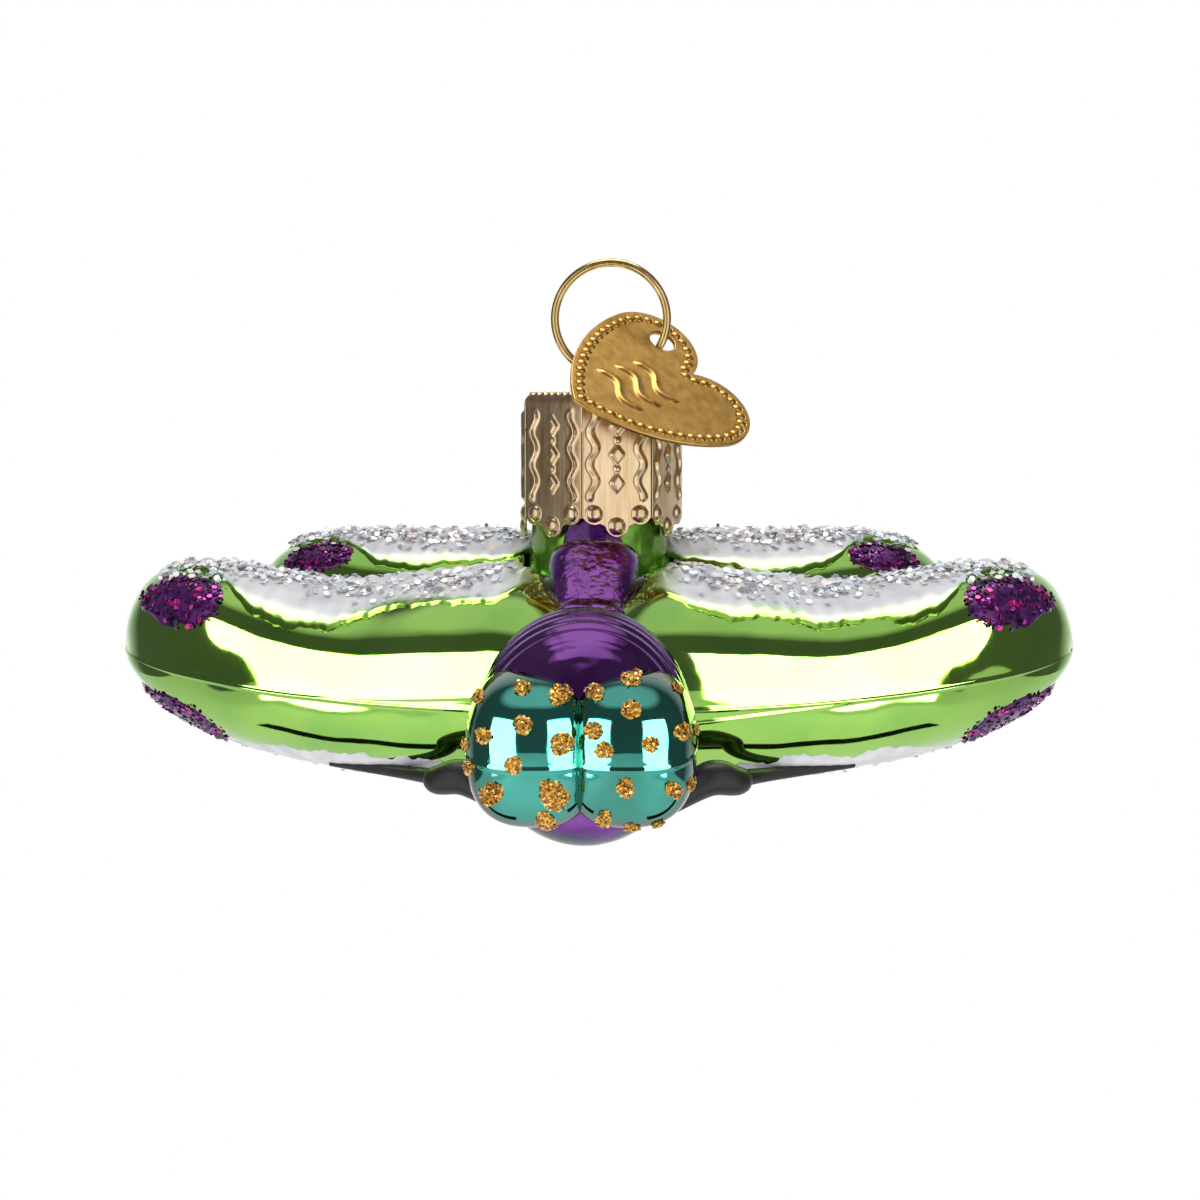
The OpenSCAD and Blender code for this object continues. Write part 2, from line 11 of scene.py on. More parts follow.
import bpy
import numpy as np
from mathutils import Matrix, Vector

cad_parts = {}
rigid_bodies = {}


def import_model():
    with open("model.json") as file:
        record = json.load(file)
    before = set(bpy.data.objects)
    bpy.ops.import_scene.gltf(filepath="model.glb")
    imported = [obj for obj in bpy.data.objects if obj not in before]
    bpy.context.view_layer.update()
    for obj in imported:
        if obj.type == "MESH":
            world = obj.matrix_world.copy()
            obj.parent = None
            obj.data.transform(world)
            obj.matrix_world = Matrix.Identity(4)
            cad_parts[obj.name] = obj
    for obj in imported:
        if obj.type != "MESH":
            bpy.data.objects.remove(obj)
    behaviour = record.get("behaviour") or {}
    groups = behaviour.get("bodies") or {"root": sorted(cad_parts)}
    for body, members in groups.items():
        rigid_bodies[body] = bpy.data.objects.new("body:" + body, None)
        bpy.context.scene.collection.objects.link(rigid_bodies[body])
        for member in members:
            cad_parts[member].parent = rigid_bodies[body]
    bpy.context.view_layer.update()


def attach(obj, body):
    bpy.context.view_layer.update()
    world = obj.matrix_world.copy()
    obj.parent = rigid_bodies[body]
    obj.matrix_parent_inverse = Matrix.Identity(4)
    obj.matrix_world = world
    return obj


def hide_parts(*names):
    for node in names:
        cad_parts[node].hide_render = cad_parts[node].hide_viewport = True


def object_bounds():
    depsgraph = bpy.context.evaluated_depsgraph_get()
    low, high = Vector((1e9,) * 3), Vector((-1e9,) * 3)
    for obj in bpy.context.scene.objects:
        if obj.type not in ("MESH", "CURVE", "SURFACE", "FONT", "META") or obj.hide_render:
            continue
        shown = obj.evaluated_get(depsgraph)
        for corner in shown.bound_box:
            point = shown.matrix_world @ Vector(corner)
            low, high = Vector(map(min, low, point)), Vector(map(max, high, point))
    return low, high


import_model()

# %% [markdown]
# ## Helpers for surfaces
# Every shape is a grid of points worked out as whole arrays, in millimetres, and turned to metres when
# it becomes a mesh. Modifiers could do some of it, but an array shows every step of a formula. A closed
# tube, a patch with a back, and a small repeated flake cover all the pieces but the tag.

# %% Grids, patches and pieces
MM = 0.001


def around(cols):
    """Angles once round a circle, as one row."""
    return np.linspace(0, 2 * np.pi, cols, endpoint=False)[None, :]


def xyz(x, y, z):
    """Points out of their three coordinates, each spread over the whole grid."""
    return np.stack(np.broadcast_arrays(x, y, z), axis=-1)


def unit(vectors):
    """The same directions with a length of one."""
    return vectors / np.maximum(np.linalg.norm(vectors, axis=-1, keepdims=True), 1e-9)


def grid_faces(rows, cols, wraps):
    """Four-cornered faces of a grid: rows run along, columns run round, and meet when wraps is true."""
    i = np.arange(rows - 1)[:, None] * cols
    j = np.arange(cols if wraps else cols - 1)[None, :]
    k = (j + 1) % cols
    return np.stack([i + j, i + cols + j, i + cols + k, i + k], axis=-1).reshape(-1, 4)


def closed_tube(rings):
    """Points and faces of a row of rings, closed at each end by a fan to the middle of its last ring."""
    rows, cols = rings.shape[:2]
    middles = [rings[0].mean(axis=0)[None], rings[-1].mean(axis=0)[None]]
    points = np.concatenate([rings.reshape(-1, 3), *middles])
    j = np.arange(cols)
    k = (j + 1) % cols
    last = (rows - 1) * cols
    first_fan = np.stack([np.full(cols, rows * cols), j, k], axis=-1)
    last_fan = np.stack([np.full(cols, rows * cols + 1), last + k, last + j], axis=-1)
    return points, [grid_faces(rows, cols, True), first_fan, last_fan]


def closed_patch(outer, inner):
    """Points and faces of a thin solid: an outer grid, an inner one turned over, and a wall at the rim."""
    rows, cols = outer.shape[:2]
    index = np.arange(rows * cols).reshape(rows, cols)
    rim = np.concatenate([index[0, :-1], index[:-1, -1], index[-1, :0:-1], index[:0:-1, 0]])
    after = np.roll(rim, -1)
    faces = grid_faces(rows, cols, False)
    shift = rows * cols
    wall = np.stack([rim, after, after + shift, rim + shift], axis=-1)
    points = np.concatenate([outer.reshape(-1, 3), inner.reshape(-1, 3)])
    return points, [faces, faces[:, ::-1] + shift, wall]


def join(parts):
    """One set of points and faces out of several."""
    points, faces, start = [], [], 0
    for part_points, part_faces in parts:
        points.append(part_points)
        faces += [f + start for f in part_faces]
        start += len(part_points)
    return np.concatenate(points), faces


def mirror(points, faces):
    """The same shape on the other side of the middle plane, with its faces turned outwards again."""
    return points * [-1, 1, 1], [f[:, ::-1] for f in faces]


def add_piece(name, shape, material, body, replaced=(), smooth=True, tint=None):
    """Puts a shape into a mesh object, with its finish, and lets it ride on a body."""
    points, polygons = shape
    corners = np.concatenate([p.ravel() for p in polygons]).astype(np.int32)
    sizes = np.concatenate([np.full(len(p), p.shape[1]) for p in polygons])
    mesh = bpy.data.meshes.new(name)
    mesh.vertices.add(len(points))
    mesh.vertices.foreach_set("co", (points * MM).astype(np.float32).ravel())
    mesh.loops.add(len(corners))
    mesh.loops.foreach_set("vertex_index", corners)
    mesh.polygons.add(len(sizes))
    mesh.polygons.foreach_set("loop_start", (np.cumsum(sizes) - sizes).astype(np.int32))
    mesh.polygons.foreach_set("use_smooth", np.full(len(sizes), smooth))
    mesh.update(calc_edges=True)
    mesh.validate()
    if tint is not None:
        layer = mesh.attributes.new("tint", "FLOAT_COLOR", "POINT")
        layer.data.foreach_set("color", tint.astype(np.float32).ravel())
    mesh.materials.append(material)
    piece = bpy.data.objects.new(name, mesh)
    bpy.context.scene.collection.objects.link(piece)
    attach(piece, body)
    if replaced:
        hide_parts(*replaced)
    print(name, "points", len(points), "faces", len(sizes))
    return piece


# %% [markdown]
# ## Finishes
# The glass is a mirror seen through coloured lacquer. It could be real glass over silver, but light
# would have to pass several layers, so it is a metal with a clear coat: the colour tints what it
# reflects, a darker tint at the rim stands for the longer way through the lacquer, and the coat adds the
# white glint of the surface. Glitter is foil cut into flakes, each with its own tint. The cap, wire and
# tag are thin brass.

# %% Nodes and colours
def linear(code):
    """An sRGB hex colour as linear red, green, blue and alpha."""
    value = np.array([int(code[i:i + 2], 16) for i in (1, 3, 5)]) / 255
    value = np.where(value <= 0.04045, value / 12.92, ((value + 0.055) / 1.055) ** 2.4)
    return (*value.tolist(), 1.0)


def set_inputs(node, inputs):
    """Sets a node's inputs, to plain values or to links from other nodes."""
    for key, value in inputs.items():
        if isinstance(value, bpy.types.NodeSocket):
            node.id_data.links.new(value, node.inputs[key])
        else:
            node.inputs[key].default_value = value


def add(tree, kind, inputs=None, stops=(), **settings):
    """Adds one node with its settings and inputs. A colour ramp also takes stops: place and hex colour."""
    node = tree.nodes.new(kind)
    for key, value in settings.items():
        setattr(node, key, value)
    set_inputs(node, inputs or {})
    for number, (place, code) in enumerate(stops):
        elements = node.color_ramp.elements
        stop = elements[number] if number < len(elements) else elements.new(place)
        stop.position = place
        stop.color = linear(code)
    return node


def new_finish(name):
    """An empty node material with its Principled shader."""
    material = bpy.data.materials.new(name)
    material.use_nodes = True
    tree = material.node_tree
    return material, tree, tree.nodes["Principled BSDF"]


# %% Lacquered, silvered glass
def mirror_lacquer(name, light, dark, rim, ripple_mm=6.0, wave=0.0002, roughness=0.06, coat_ior=1.35):
    """Silvered glass under lacquer: a tinted, uneven mirror, deeper in colour where it turns away."""
    material, tree, shader = new_finish(name)
    place = add(tree, "ShaderNodeTexCoord").outputs["Object"]
    cloud = add(tree, "ShaderNodeTexNoise", {"Vector": place, "Scale": 1 / (9 * MM), "Detail": 3.0})
    tone = add(tree, "ShaderNodeValToRGB", {"Fac": cloud.outputs["Fac"]}, [(0.35, dark), (0.62, light)])
    swell = add(tree, "ShaderNodeTexNoise", {"Vector": place, "Detail": 1.5,
                                             "Scale": 1 / (ripple_mm * MM)})
    bump = add(tree, "ShaderNodeBump", {"Strength": 0.6, "Distance": wave, "Height": swell.outputs["Fac"]})
    set_inputs(shader, {"Base Color": tone.outputs["Color"], "Normal": bump.outputs["Normal"],
                        "Metallic": 1.0, "Roughness": roughness, "Specular Tint": linear(rim),
                        "Coat Weight": 1.0, "Coat Roughness": 0.03, "Coat IOR": coat_ior})
    return material


LIME, NO_RIM = "#8FC63E", "#FFFFFF"
green_lacquer = mirror_lacquer("green lacquer on silvered glass", LIME, "#7AB732", NO_RIM, coat_ior=1.75)
# The neck's copy of the green lacquer is rougher, and its darker colour is painted shade.
shaded_rough_green = mirror_lacquer("rougher green lacquer with painted shade", "#86BC3C", "#5F982C", NO_RIM, 2.5, 0.0006, 0.3)
purple_lacquer = mirror_lacquer("purple lacquer on silvered glass", "#9150AE", "#6C2A8A", "#4B1262",
                                3.4, 0.0005)
crackled_purple = mirror_lacquer("wrinkled purple lacquer", "#9A55B6", "#5A2078", "#4B1262",
                                 1.1, 0.0008, 0.14)
# The apron's copy of the purple lacquer is rougher than the back's, and its darker colour is painted
# shade.
shaded_rough_purple = mirror_lacquer("rougher purple lacquer with painted shade", "#6A2D86", "#43165A", "#3A0F4E",
                                1.1, 0.0008, 0.4)
teal_lacquer = mirror_lacquer("teal lacquer on silvered glass", "#2FA393", "#178474", "#0A4F48",
                              4.5, 0.0002, coat_ior=1.6)
print("materials so far:", len(bpy.data.materials))


# %% Enamel, glitter and black lacquer
def pearl_enamel():
    """Brushed white enamel with a pearl sheen, so thin at its edge that the green mirror shows through."""
    material, tree, shader = new_finish("pearl white enamel")
    place = add(tree, "ShaderNodeTexCoord").outputs["Object"]
    streak = add(tree, "ShaderNodeTexNoise", {"Vector": place, "Scale": 1 / (2.2 * MM), "Detail": 4.0})
    tone = add(tree, "ShaderNodeValToRGB", {"Fac": streak.outputs["Fac"]},
               [(0.3, "#C2C2C7"), (0.5, "#D0D0D4"), (0.7, "#DEDEE1")])
    depth = add(tree, "ShaderNodeAttribute", attribute_name="tint").outputs["Fac"]
    mix = add(tree, "ShaderNodeMix", {"Factor": depth, "A": linear(LIME), "B": tone.outputs["Color"]},
              data_type="RGBA")
    shine = add(tree, "ShaderNodeMapRange", {"Value": depth, "To Min": 1.0, "To Max": 0.0})
    rough = add(tree, "ShaderNodeMapRange", {"Value": depth, "To Min": 0.07, "To Max": 0.42})
    bump = add(tree, "ShaderNodeBump", {"Strength": 0.3, "Distance": 0.0001,
                                        "Height": streak.outputs["Fac"]})
    set_inputs(shader, {"Base Color": mix.outputs["Result"], "Metallic": shine.outputs["Result"],
                        "Roughness": rough.outputs["Result"], "Normal": bump.outputs["Normal"],
                        "Coat Weight": 0.25, "Coat Roughness": 0.2})
    return material


def glitter(name, metallic, roughness):
    """Foil flakes in clear glue: each flake carries its own tint."""
    material, tree, shader = new_finish(name)
    tint = add(tree, "ShaderNodeAttribute", attribute_name="tint")
    set_inputs(shader, {"Base Color": tint.outputs["Color"], "Metallic": metallic, "Roughness": roughness,
                        "Coat Weight": 0.6, "Coat Roughness": 0.08})
    return material


def glue_bed(name, low, high, grain_mm):
    """The fine glitter dust and glue between the flakes: tiny facets that catch the light one by one."""
    material, tree, shader = new_finish(name)
    place = add(tree, "ShaderNodeTexCoord").outputs["Object"]
    cell = add(tree, "ShaderNodeTexVoronoi", {"Vector": place, "Scale": 1 / (grain_mm * MM)})
    value = add(tree, "ShaderNodeSeparateColor", {"Color": cell.outputs["Color"]})
    tone = add(tree, "ShaderNodeValToRGB", {"Fac": value.outputs["Red"]}, [(0.1, low), (0.9, high)])
    bump = add(tree, "ShaderNodeBump", {"Strength": 1.0, "Distance": 0.0002,
                                        "Height": value.outputs["Green"]})
    set_inputs(shader, {"Base Color": tone.outputs["Color"], "Normal": bump.outputs["Normal"],
                        "Metallic": 0.55, "Roughness": 0.32, "Coat Weight": 0.5, "Coat Roughness": 0.1})
    return material


def black_lacquer():
    """Black enamel brushed over a moulded relief: dark, half matt and slightly uneven."""
    material, tree, shader = new_finish("black enamel")
    place = add(tree, "ShaderNodeTexCoord").outputs["Object"]
    cloud = add(tree, "ShaderNodeTexNoise", {"Vector": place, "Scale": 1 / (1.5 * MM), "Detail": 3.0})
    tone = add(tree, "ShaderNodeValToRGB", {"Fac": cloud.outputs["Fac"]},
               [(0.35, "#0C0A09"), (0.7, "#1D1917")])
    bump = add(tree, "ShaderNodeBump", {"Strength": 0.5, "Distance": 0.0002,
                                        "Height": cloud.outputs["Fac"]})
    set_inputs(shader, {"Base Color": tone.outputs["Color"], "Normal": bump.outputs["Normal"],
                        "Roughness": 0.5, "Coat Weight": 0.12, "Coat Roughness": 0.15})
    return material


enamel = pearl_enamel()
silver_flakes = glitter("silver holographic foil", 0.15, 0.25)
purple_flakes = glitter("purple foil", 0.8, 0.25)
gold_grains = glitter("gold foil", 0.85, 0.3)
purple_bed = glue_bed("purple dust in glue", "#2E0A3A", "#6E1C80", 0.5)
gold_bed = glue_bed("gold dust in glue", "#A86A12", "#F6BE4C", 0.22)
leg_black = black_lacquer()
print("materials so far:", len(bpy.data.materials))


# %% Stamped brass
def brass(name, light, dark, roughness, streak_mm):
    """Thin rolled brass with a pale gold plating: fine rolling streaks and a little tarnish."""
    material, tree, shader = new_finish(name)
    place = add(tree, "ShaderNodeTexCoord").outputs["Object"]
    stretch = add(tree, "ShaderNodeMapping", {"Vector": place, "Scale": (1.0, 1.0, 0.08)})
    streak = add(tree, "ShaderNodeTexNoise", {"Vector": stretch.outputs["Vector"], "Detail": 4.0,
                                              "Scale": 1 / (streak_mm * MM)})
    tone = add(tree, "ShaderNodeValToRGB", {"Fac": streak.outputs["Fac"]}, [(0.3, dark), (0.65, light)])
    bump = add(tree, "ShaderNodeBump", {"Strength": 0.15, "Distance": 0.00005,
                                        "Height": streak.outputs["Fac"]})
    rough = add(tree, "ShaderNodeMapRange", {"Value": streak.outputs["Fac"], "To Min": roughness * 0.8,
                                             "To Max": roughness * 1.3})
    set_inputs(shader, {"Base Color": tone.outputs["Color"], "Normal": bump.outputs["Normal"],
                        "Roughness": rough.outputs["Result"], "Metallic": 1.0})
    return material


cap_brass = brass("champagne gold sheet", "#E2C8A2", "#C9AB80", 0.22, 0.5)
wire_brass = brass("gold plated wire", "#D9BE83", "#B99A5E", 0.2, 0.6)
tag_brass = brass("antique gold sheet", "#D0A45A", "#BE9048", 0.3, 0.9)
print("materials in all:", len(bpy.data.materials))

# %% [markdown]
# ## The blown wings
# A wing is a puffed cushion of glass with a mould seam round its edge. It could be sculpted, but then
# nothing else would know its surface. Here its section is a rounded box, a superellipse, whose half
# chord, top and bottom change along the span. The same function gives the glass, and with a small lift
# the enamel and glitter that lie on it.

# %% Sizes shared with the CAD model, in millimetres and degrees
PITCH = np.radians(14.0)
WIRE_D = 0.92
LOOP_R = 5.95
LOOP_LEAN = 1.2
LOOP_Z = -np.sqrt((LOOP_R - WIRE_D / 2) ** 2 - LOOP_LEAN ** 2)
LOOP_OVER_CAP = 7.75
CAP_H = 15.3
CAP_OVER_WINGS = 10.5
CAP_TOP = LOOP_Z - LOOP_OVER_CAP
CAP_TIP = CAP_TOP - CAP_H
PARTING = CAP_TIP - CAP_OVER_WINGS
FORE = {"span": 49.9, "root": -17.0, "sweep": 12.0, "chord": 11.0, "top": 10.0, "bottom": 10.1,
        "dip": 0.14, "rise": 0.16, "tip": 14}
HIND = {"span": 37.5, "root": 3.8, "sweep": 4.5, "chord": 8.8, "top": 9.2, "bottom": 8.4,
        "dip": 0.0, "rise": 0.0, "tip": 8}
POWER = 2.6


def on_body(points):
    """Turns points of the dragonfly nose-down and hangs them under the neck."""
    x, y, z = np.moveaxis(points, -1, 0)
    c, s = np.cos(PITCH), np.sin(PITCH)
    return xyz(x, y * c - z * s, y * s + z * c + PARTING)


def bump(x, place, width):
    """A bell curve of height one."""
    return np.exp(-((x - place) / width) ** 2)


def smooth(value, low, high):
    """A soft step from 0 at low to 1 at high."""
    t = np.clip((value - low) / (high - low), 0, 1)
    return t * t * (3 - 2 * t)


def wing_point(w, x, e, u, lift=0.0):
    """A point of a wing: x along its span, e across its chord from -1 in front, u up or down."""
    share = np.clip(x / (w["span"] + lift), 0, 1)
    middle = w["root"] + w["sweep"] * share ** 2
    half = (w["chord"] + lift) * np.sqrt(np.maximum(1 - share ** 3.2, 0))
    groove = 1 - 0.32 * bump(x, 0, 5.0)
    crest = (1 - w["dip"] * bump(x, 0.54 * w["span"], 9.0)) * (1 + w["rise"] * bump(x, 0, 12.0))
    top = (w["top"] + lift) * crest * np.sqrt(np.maximum(1 - share ** w["tip"], 0))
    low = (w["bottom"] + lift) * np.maximum(1 - share ** 4.5, 0) ** 0.6
    height = np.where(u > 0, top, low) * groove * u * (1 + 0.12 * e)
    return xyz(x, middle + half * e, height)


def rise(e):
    """How high the section stands at a place e across the chord: the superellipse's other coordinate."""
    return np.maximum(1 - np.abs(e) ** POWER, 0) ** (1 / POWER)


def wing_glass(w, second_line):
    """The glass of one wing: rings along the span, closer together at the tip and at the mould seam.

    A second, finer mould line leaves the seam a little past half way along the span and ends above or
    below it, at the body.
    """
    s = np.linspace(0, 1, 121)[:, None]
    x = 0.5 + (w["span"] * 0.9998 - 0.5) * np.sin(s * np.pi / 2)
    a = around(240)
    a = a - 0.42 * np.sin(2 * a)
    reach = (np.abs(np.cos(a)) ** POWER + np.abs(np.sin(a)) ** POWER) ** (-1 / POWER)
    e = -np.cos(a) * reach
    u = np.sin(a) * reach
    height = u * w["top"]
    line = second_line * 2.4 * np.clip(1 - x / (0.6 * w["span"]), 0, 1)
    ridge = 0.15 * bump(height, 0, 0.22) + 0.06 * bump(height, line, 0.16) * (e < 0)
    sag = 0.07 * np.sin(x / 3.1) * np.sin(2 * a + x / 6) + 0.05 * np.sin(x / 1.7 + 3 * a)
    lift = (ridge + sag) * smooth(x, 2, 6) - 0.04
    return closed_tube(on_body(wing_point(w, x, e, u, lift)))


for side, line in (("left", -1), ("right", 1)):
    for wing, w in (("forewing", FORE), ("hindwing", HIND)):
        shape = wing_glass(w, line)
        if side == "right":
            shape = mirror(*shape)
        add_piece(side + "_" + wing + "_glass", shape, green_lacquer, "glass",
                  [side + "_" + wing])

# %% [markdown]
# ## Enamel on the wings
# White enamel is brushed over the crest of each wing, top and underside. The mould left fine ribs there,
# which show as pleats and as a beaded skyline. A painted mask on the glass would leave that skyline
# smooth, so the enamel is a patch of its own: a grid over the wing whose lift fades out at its rim, so
# that it looks like paint and not like a plate.

# %% Enamel patches
def wobble(x, seed, size):
    """A brushed edge: a few sine waves of different lengths along x."""
    waves = np.random.default_rng(seed)
    total = 0
    for length in (9.0, 4.3, 2.1, 1.1):
        phase = waves.uniform(0, 6.28)
        total = total + size * (length / 9) ** 0.6 * np.sin(2 * np.pi * x / length + phase)
    return total


def edge_across(x, level, step, hills=()):
    """An edge of the enamel across the chord: a level, bell-shaped hills along x, and a soft step."""
    for height, place, width in hills:
        level = level + height * bump(x, place, width)
    size, start, end = step
    return level + size * smooth(x, start, end)


RIB_PITCH = 1.9
ENAMEL_LIFT = 0.17


def enamel_shape(w, face, x0, x1, front, back, seed):
    """A patch between two edges across the chord, from x0 to x1 along the span, on one face of the wing.

    Its lift is a base plus raised cosine ribs, which fade towards the front edge, and it sinks into the
    glass at the rim. The tint is the cover of the paint: none at the front edge and at both ends, full
    elsewhere.
    """
    s = np.linspace(0, 1, 200)[:, None]
    v = np.linspace(0, 1, 70)[None, :]
    x = x0 + (x1 - x0) * s
    closing = 1 - np.abs(2 * s - 1) ** 7
    front, back = edge_across(x, *front), edge_across(x, *back)
    middle = (front + back) / 2
    half = (back - front) / 2 * closing
    e = middle - half + wobble(x, seed, 0.022) * (1 - v) + 2 * half * v
    e = np.clip(e, -0.97, 0.985)
    inside = np.minimum(smooth(v, 0, 0.07), smooth(1 - v, 0, 0.07)) * smooth(closing, 0.05, 0.6)
    ribs = 0.5 + 0.5 * np.cos(2 * np.pi * (x + 2.6 * e) / RIB_PITCH + 0.9 * np.sin(x / 3.7))
    fade = 0.25 + 0.75 * smooth(v, 0.08, 0.5)
    lift = -0.04 + inside * (ENAMEL_LIFT + fade * ribs ** 1.5 * (0.12 + 0.2 * smooth(e, -0.3, 0.15)))
    u = face * rise(e)
    outer = on_body(wing_point(w, x, e, u, lift))
    inner = on_body(wing_point(w, x, e, u, -0.3))
    cover = smooth(v, 0.02, 0.19 + 0.05 * np.sin(x / 2.3)) * smooth(closing, 0.1, 0.9) + 0 * e
    tint = np.repeat(cover[..., None], 4, axis=-1)
    tint = np.concatenate([tint.reshape(-1, 4), tint.reshape(-1, 4)])
    if face < 0:
        outer, inner = outer[:, ::-1], inner[:, ::-1]
    return closed_patch(outer, inner), tint


# A front edge is brushed by hand, so each wing has its own, and its step leads back round the spot at the
# tip. The underside's patch is shorter and comes well forward, and the rear edge is straight.
LEFT_FORE = (-0.64, (0.58, 35.5, 41), [(-0.06, 33, 4)])
RIGHT_FORE = (-0.44, (0.46, 35.5, 42), [(-0.34, 30.5, 6.5), (-0.13, 10, 3)])
LEFT_HIND = (-0.50, (0.55, 23.5, 29), [(-0.26, 19, 7)])
RIGHT_HIND = (-0.44, (0.5, 23.5, 29), [(-0.22, 20, 8)])
UNDERSIDE = (-0.84, (0.3, 28, 42))
REAR = (0.86, (0, 0, 1))
enamel_runs = [("left", "forewing", FORE, 5.5, 46.5, LEFT_FORE),
               ("right", "forewing", FORE, 5.0, 46.5, RIGHT_FORE),
               ("left", "hindwing", HIND, 5.0, 34.5, LEFT_HIND),
               ("right", "hindwing", HIND, 5.0, 34.5, RIGHT_HIND)]
for number, (side, wing, w, x0, x1, front) in enumerate(enamel_runs):
    top, top_tint = enamel_shape(w, 1, x0, x1, front, REAR, 3 + number)
    low, low_tint = enamel_shape(w, -1, x0 + 4, x1 - 5, UNDERSIDE, REAR, 8 + number)
    shape = join([top, low])
    if side == "right":
        shape = mirror(*shape)
    add_piece(side + "_" + wing + "_enamel_coat", shape, enamel, "glass",
              [side + "_" + wing + "_enamel"], tint=np.concatenate([top_tint, low_tint]))

# %% [markdown]
# ## Glitter
# Glitter is foil cut to small hexagons. A bump pattern would lie too flat at the wing's skyline, so each
# flake is a six-sided plate tilted at random: about 0.7 mm across for the silver, 0.5 mm for the purple
# and 0.3 mm for the gold. A few tints in a mixed palette give the holographic sparkle.

# %% Flakes on a surface
def flakes(places, normals, across, palette, seed, tilt=0.45, sink=0.1):
    """Six-sided plates at the given places, each turned and tilted at random, tinted from the palette."""
    dice = np.random.default_rng(seed)
    count = len(places)
    lean = unit(normals + dice.normal(0, tilt, (count, 3)))
    side = unit(np.cross(lean, dice.normal(0, 1, (count, 3))))
    other = np.cross(lean, side)
    size = across * dice.uniform(0.6, 1.25, count) / 2
    angle = np.arange(6) * np.pi / 3
    spokes = side[:, None] * np.cos(angle)[:, None] + other[:, None] * np.sin(angle)[:, None]
    ring = size[:, None, None] * spokes
    middle = places + normals * (dice.uniform(0.2, 1.0, count) * across * 0.55 - sink)[:, None]
    top = middle[:, None] + ring + lean[:, None] * 0.02
    low = middle[:, None] + ring - lean[:, None] * 0.02
    points = np.concatenate([top, low], axis=1).reshape(-1, 3)
    start = np.arange(count)[:, None] * 12
    j = np.arange(6)
    k = (j + 1) % 6
    caps = np.concatenate([start + j, start + 6 + j[::-1]])
    walls = (start[:, None] + np.stack([j, j + 6, k + 6, k], axis=-1)[None]).reshape(-1, 4)
    tones = np.array([linear(code) for code in palette])
    tint = tones[dice.integers(0, len(tones), count)] * dice.uniform(0.75, 1.15, (count, 1))
    tint = np.repeat(tint, 12, axis=0)
    tint[:, 3] = 1
    return (points, [caps, walls]), np.clip(tint, 0, 1)


def on_wing(w, x, e, face, lift):
    """Places and outward normals on one face of a wing, from small steps along and across it."""
    here = on_body(wing_point(w, x, e, face * rise(e), lift))
    along = on_body(wing_point(w, x + 0.02, e, face * rise(e), lift)) - here
    across = on_body(wing_point(w, x, e + 0.002, face * rise(e + 0.002), lift)) - here
    return here, unit(face * np.cross(along, across))


SILVER = ["#F1F3F7", "#FFFFFF", "#DDE1E8", "#FBE6EF", "#DDF1F8", "#EFEAFA", "#B4B8C2", "#FFF6E2",
          "#8F949E"]
PURPLE = ["#5B1A6E", "#7A1D8A", "#A3238E", "#3A0C4A", "#E0218A", "#2A0836", "#4A1260"]
GOLD = ["#DC9C24", "#F8C44C", "#B87814", "#FFE596", "#7A4306", "#F0B338"]
SILVER_SIZE, PURPLE_SIZE, GOLD_SIZE = 0.68, 0.5, 0.3
band_runs = {"forewing": (FORE, 8.0, 45.5, 0.10, 0.38, 500),
             "hindwing": (HIND, 7.0, 33.5, 0.12, 0.38, 340)}
for number, (wing, (w, x0, x1, place, spread, count)) in enumerate(band_runs.items()):
    parts, tints = [], []
    for face, share in ((1, 1.0), (-1, 0.45)):
        dice = np.random.default_rng(40 + number * 2 + face)
        amount = int(count * share)
        x = x0 + (x1 - x0) * dice.uniform(0, 1, amount)
        e = np.clip(place + 0.1 * np.sin(x / 4) + spread * dice.normal(0, 0.42, amount), -0.3, 0.9)
        places, normals = on_wing(w, x, e, face, 0.35)
        made, tint = flakes(places, normals, SILVER_SIZE, SILVER, 60 + number * 2 + face, tilt=0.24)
        parts.append(made)
        tints.append(tint)
    shape, tint = join(parts), np.concatenate(tints)
    for side, made in (("left", shape), ("right", mirror(*shape))):
        add_piece(side + "_" + wing + "_silver_glitter", made, silver_flakes, "glass",
                  [side + "_" + wing + "_glitter"], smooth=False, tint=tint)

# %% [markdown]
# ## Purple spots
# A spot of purple glitter marks each wing tip, above and below the seam. Its bed is a low lens on the
# wing and its flakes are packed more closely than on the crest.

# %% Spots at the wing tips
def spot_bed(w, face, x_mid, e_mid, x_half, e_half):
    """A low lens on the wing: rings round the spot's middle, lifted least at the rim."""
    r = np.linspace(0.02, 1, 24)[:, None]
    a = around(72)
    edge = 1 + 0.035 * np.sin(5 * a + 1) + 0.03 * np.sin(9 * a)
    x = x_mid + x_half * r * edge * np.cos(a)
    e = np.clip(e_mid + e_half * r * edge * np.sin(a), -0.985, 0.985)
    lift = 0.3 * np.sqrt(np.maximum(1 - r ** 3, 0)) - 0.06 + 0 * a
    rings = on_body(wing_point(w, x, e, face * rise(e), lift))
    below = on_body(wing_point(w, x[::-1], e[::-1], face * rise(e[::-1]), -0.3 + 0 * a))
    rings = np.concatenate([rings, below])
    return closed_tube(rings if face > 0 else rings[:, ::-1])


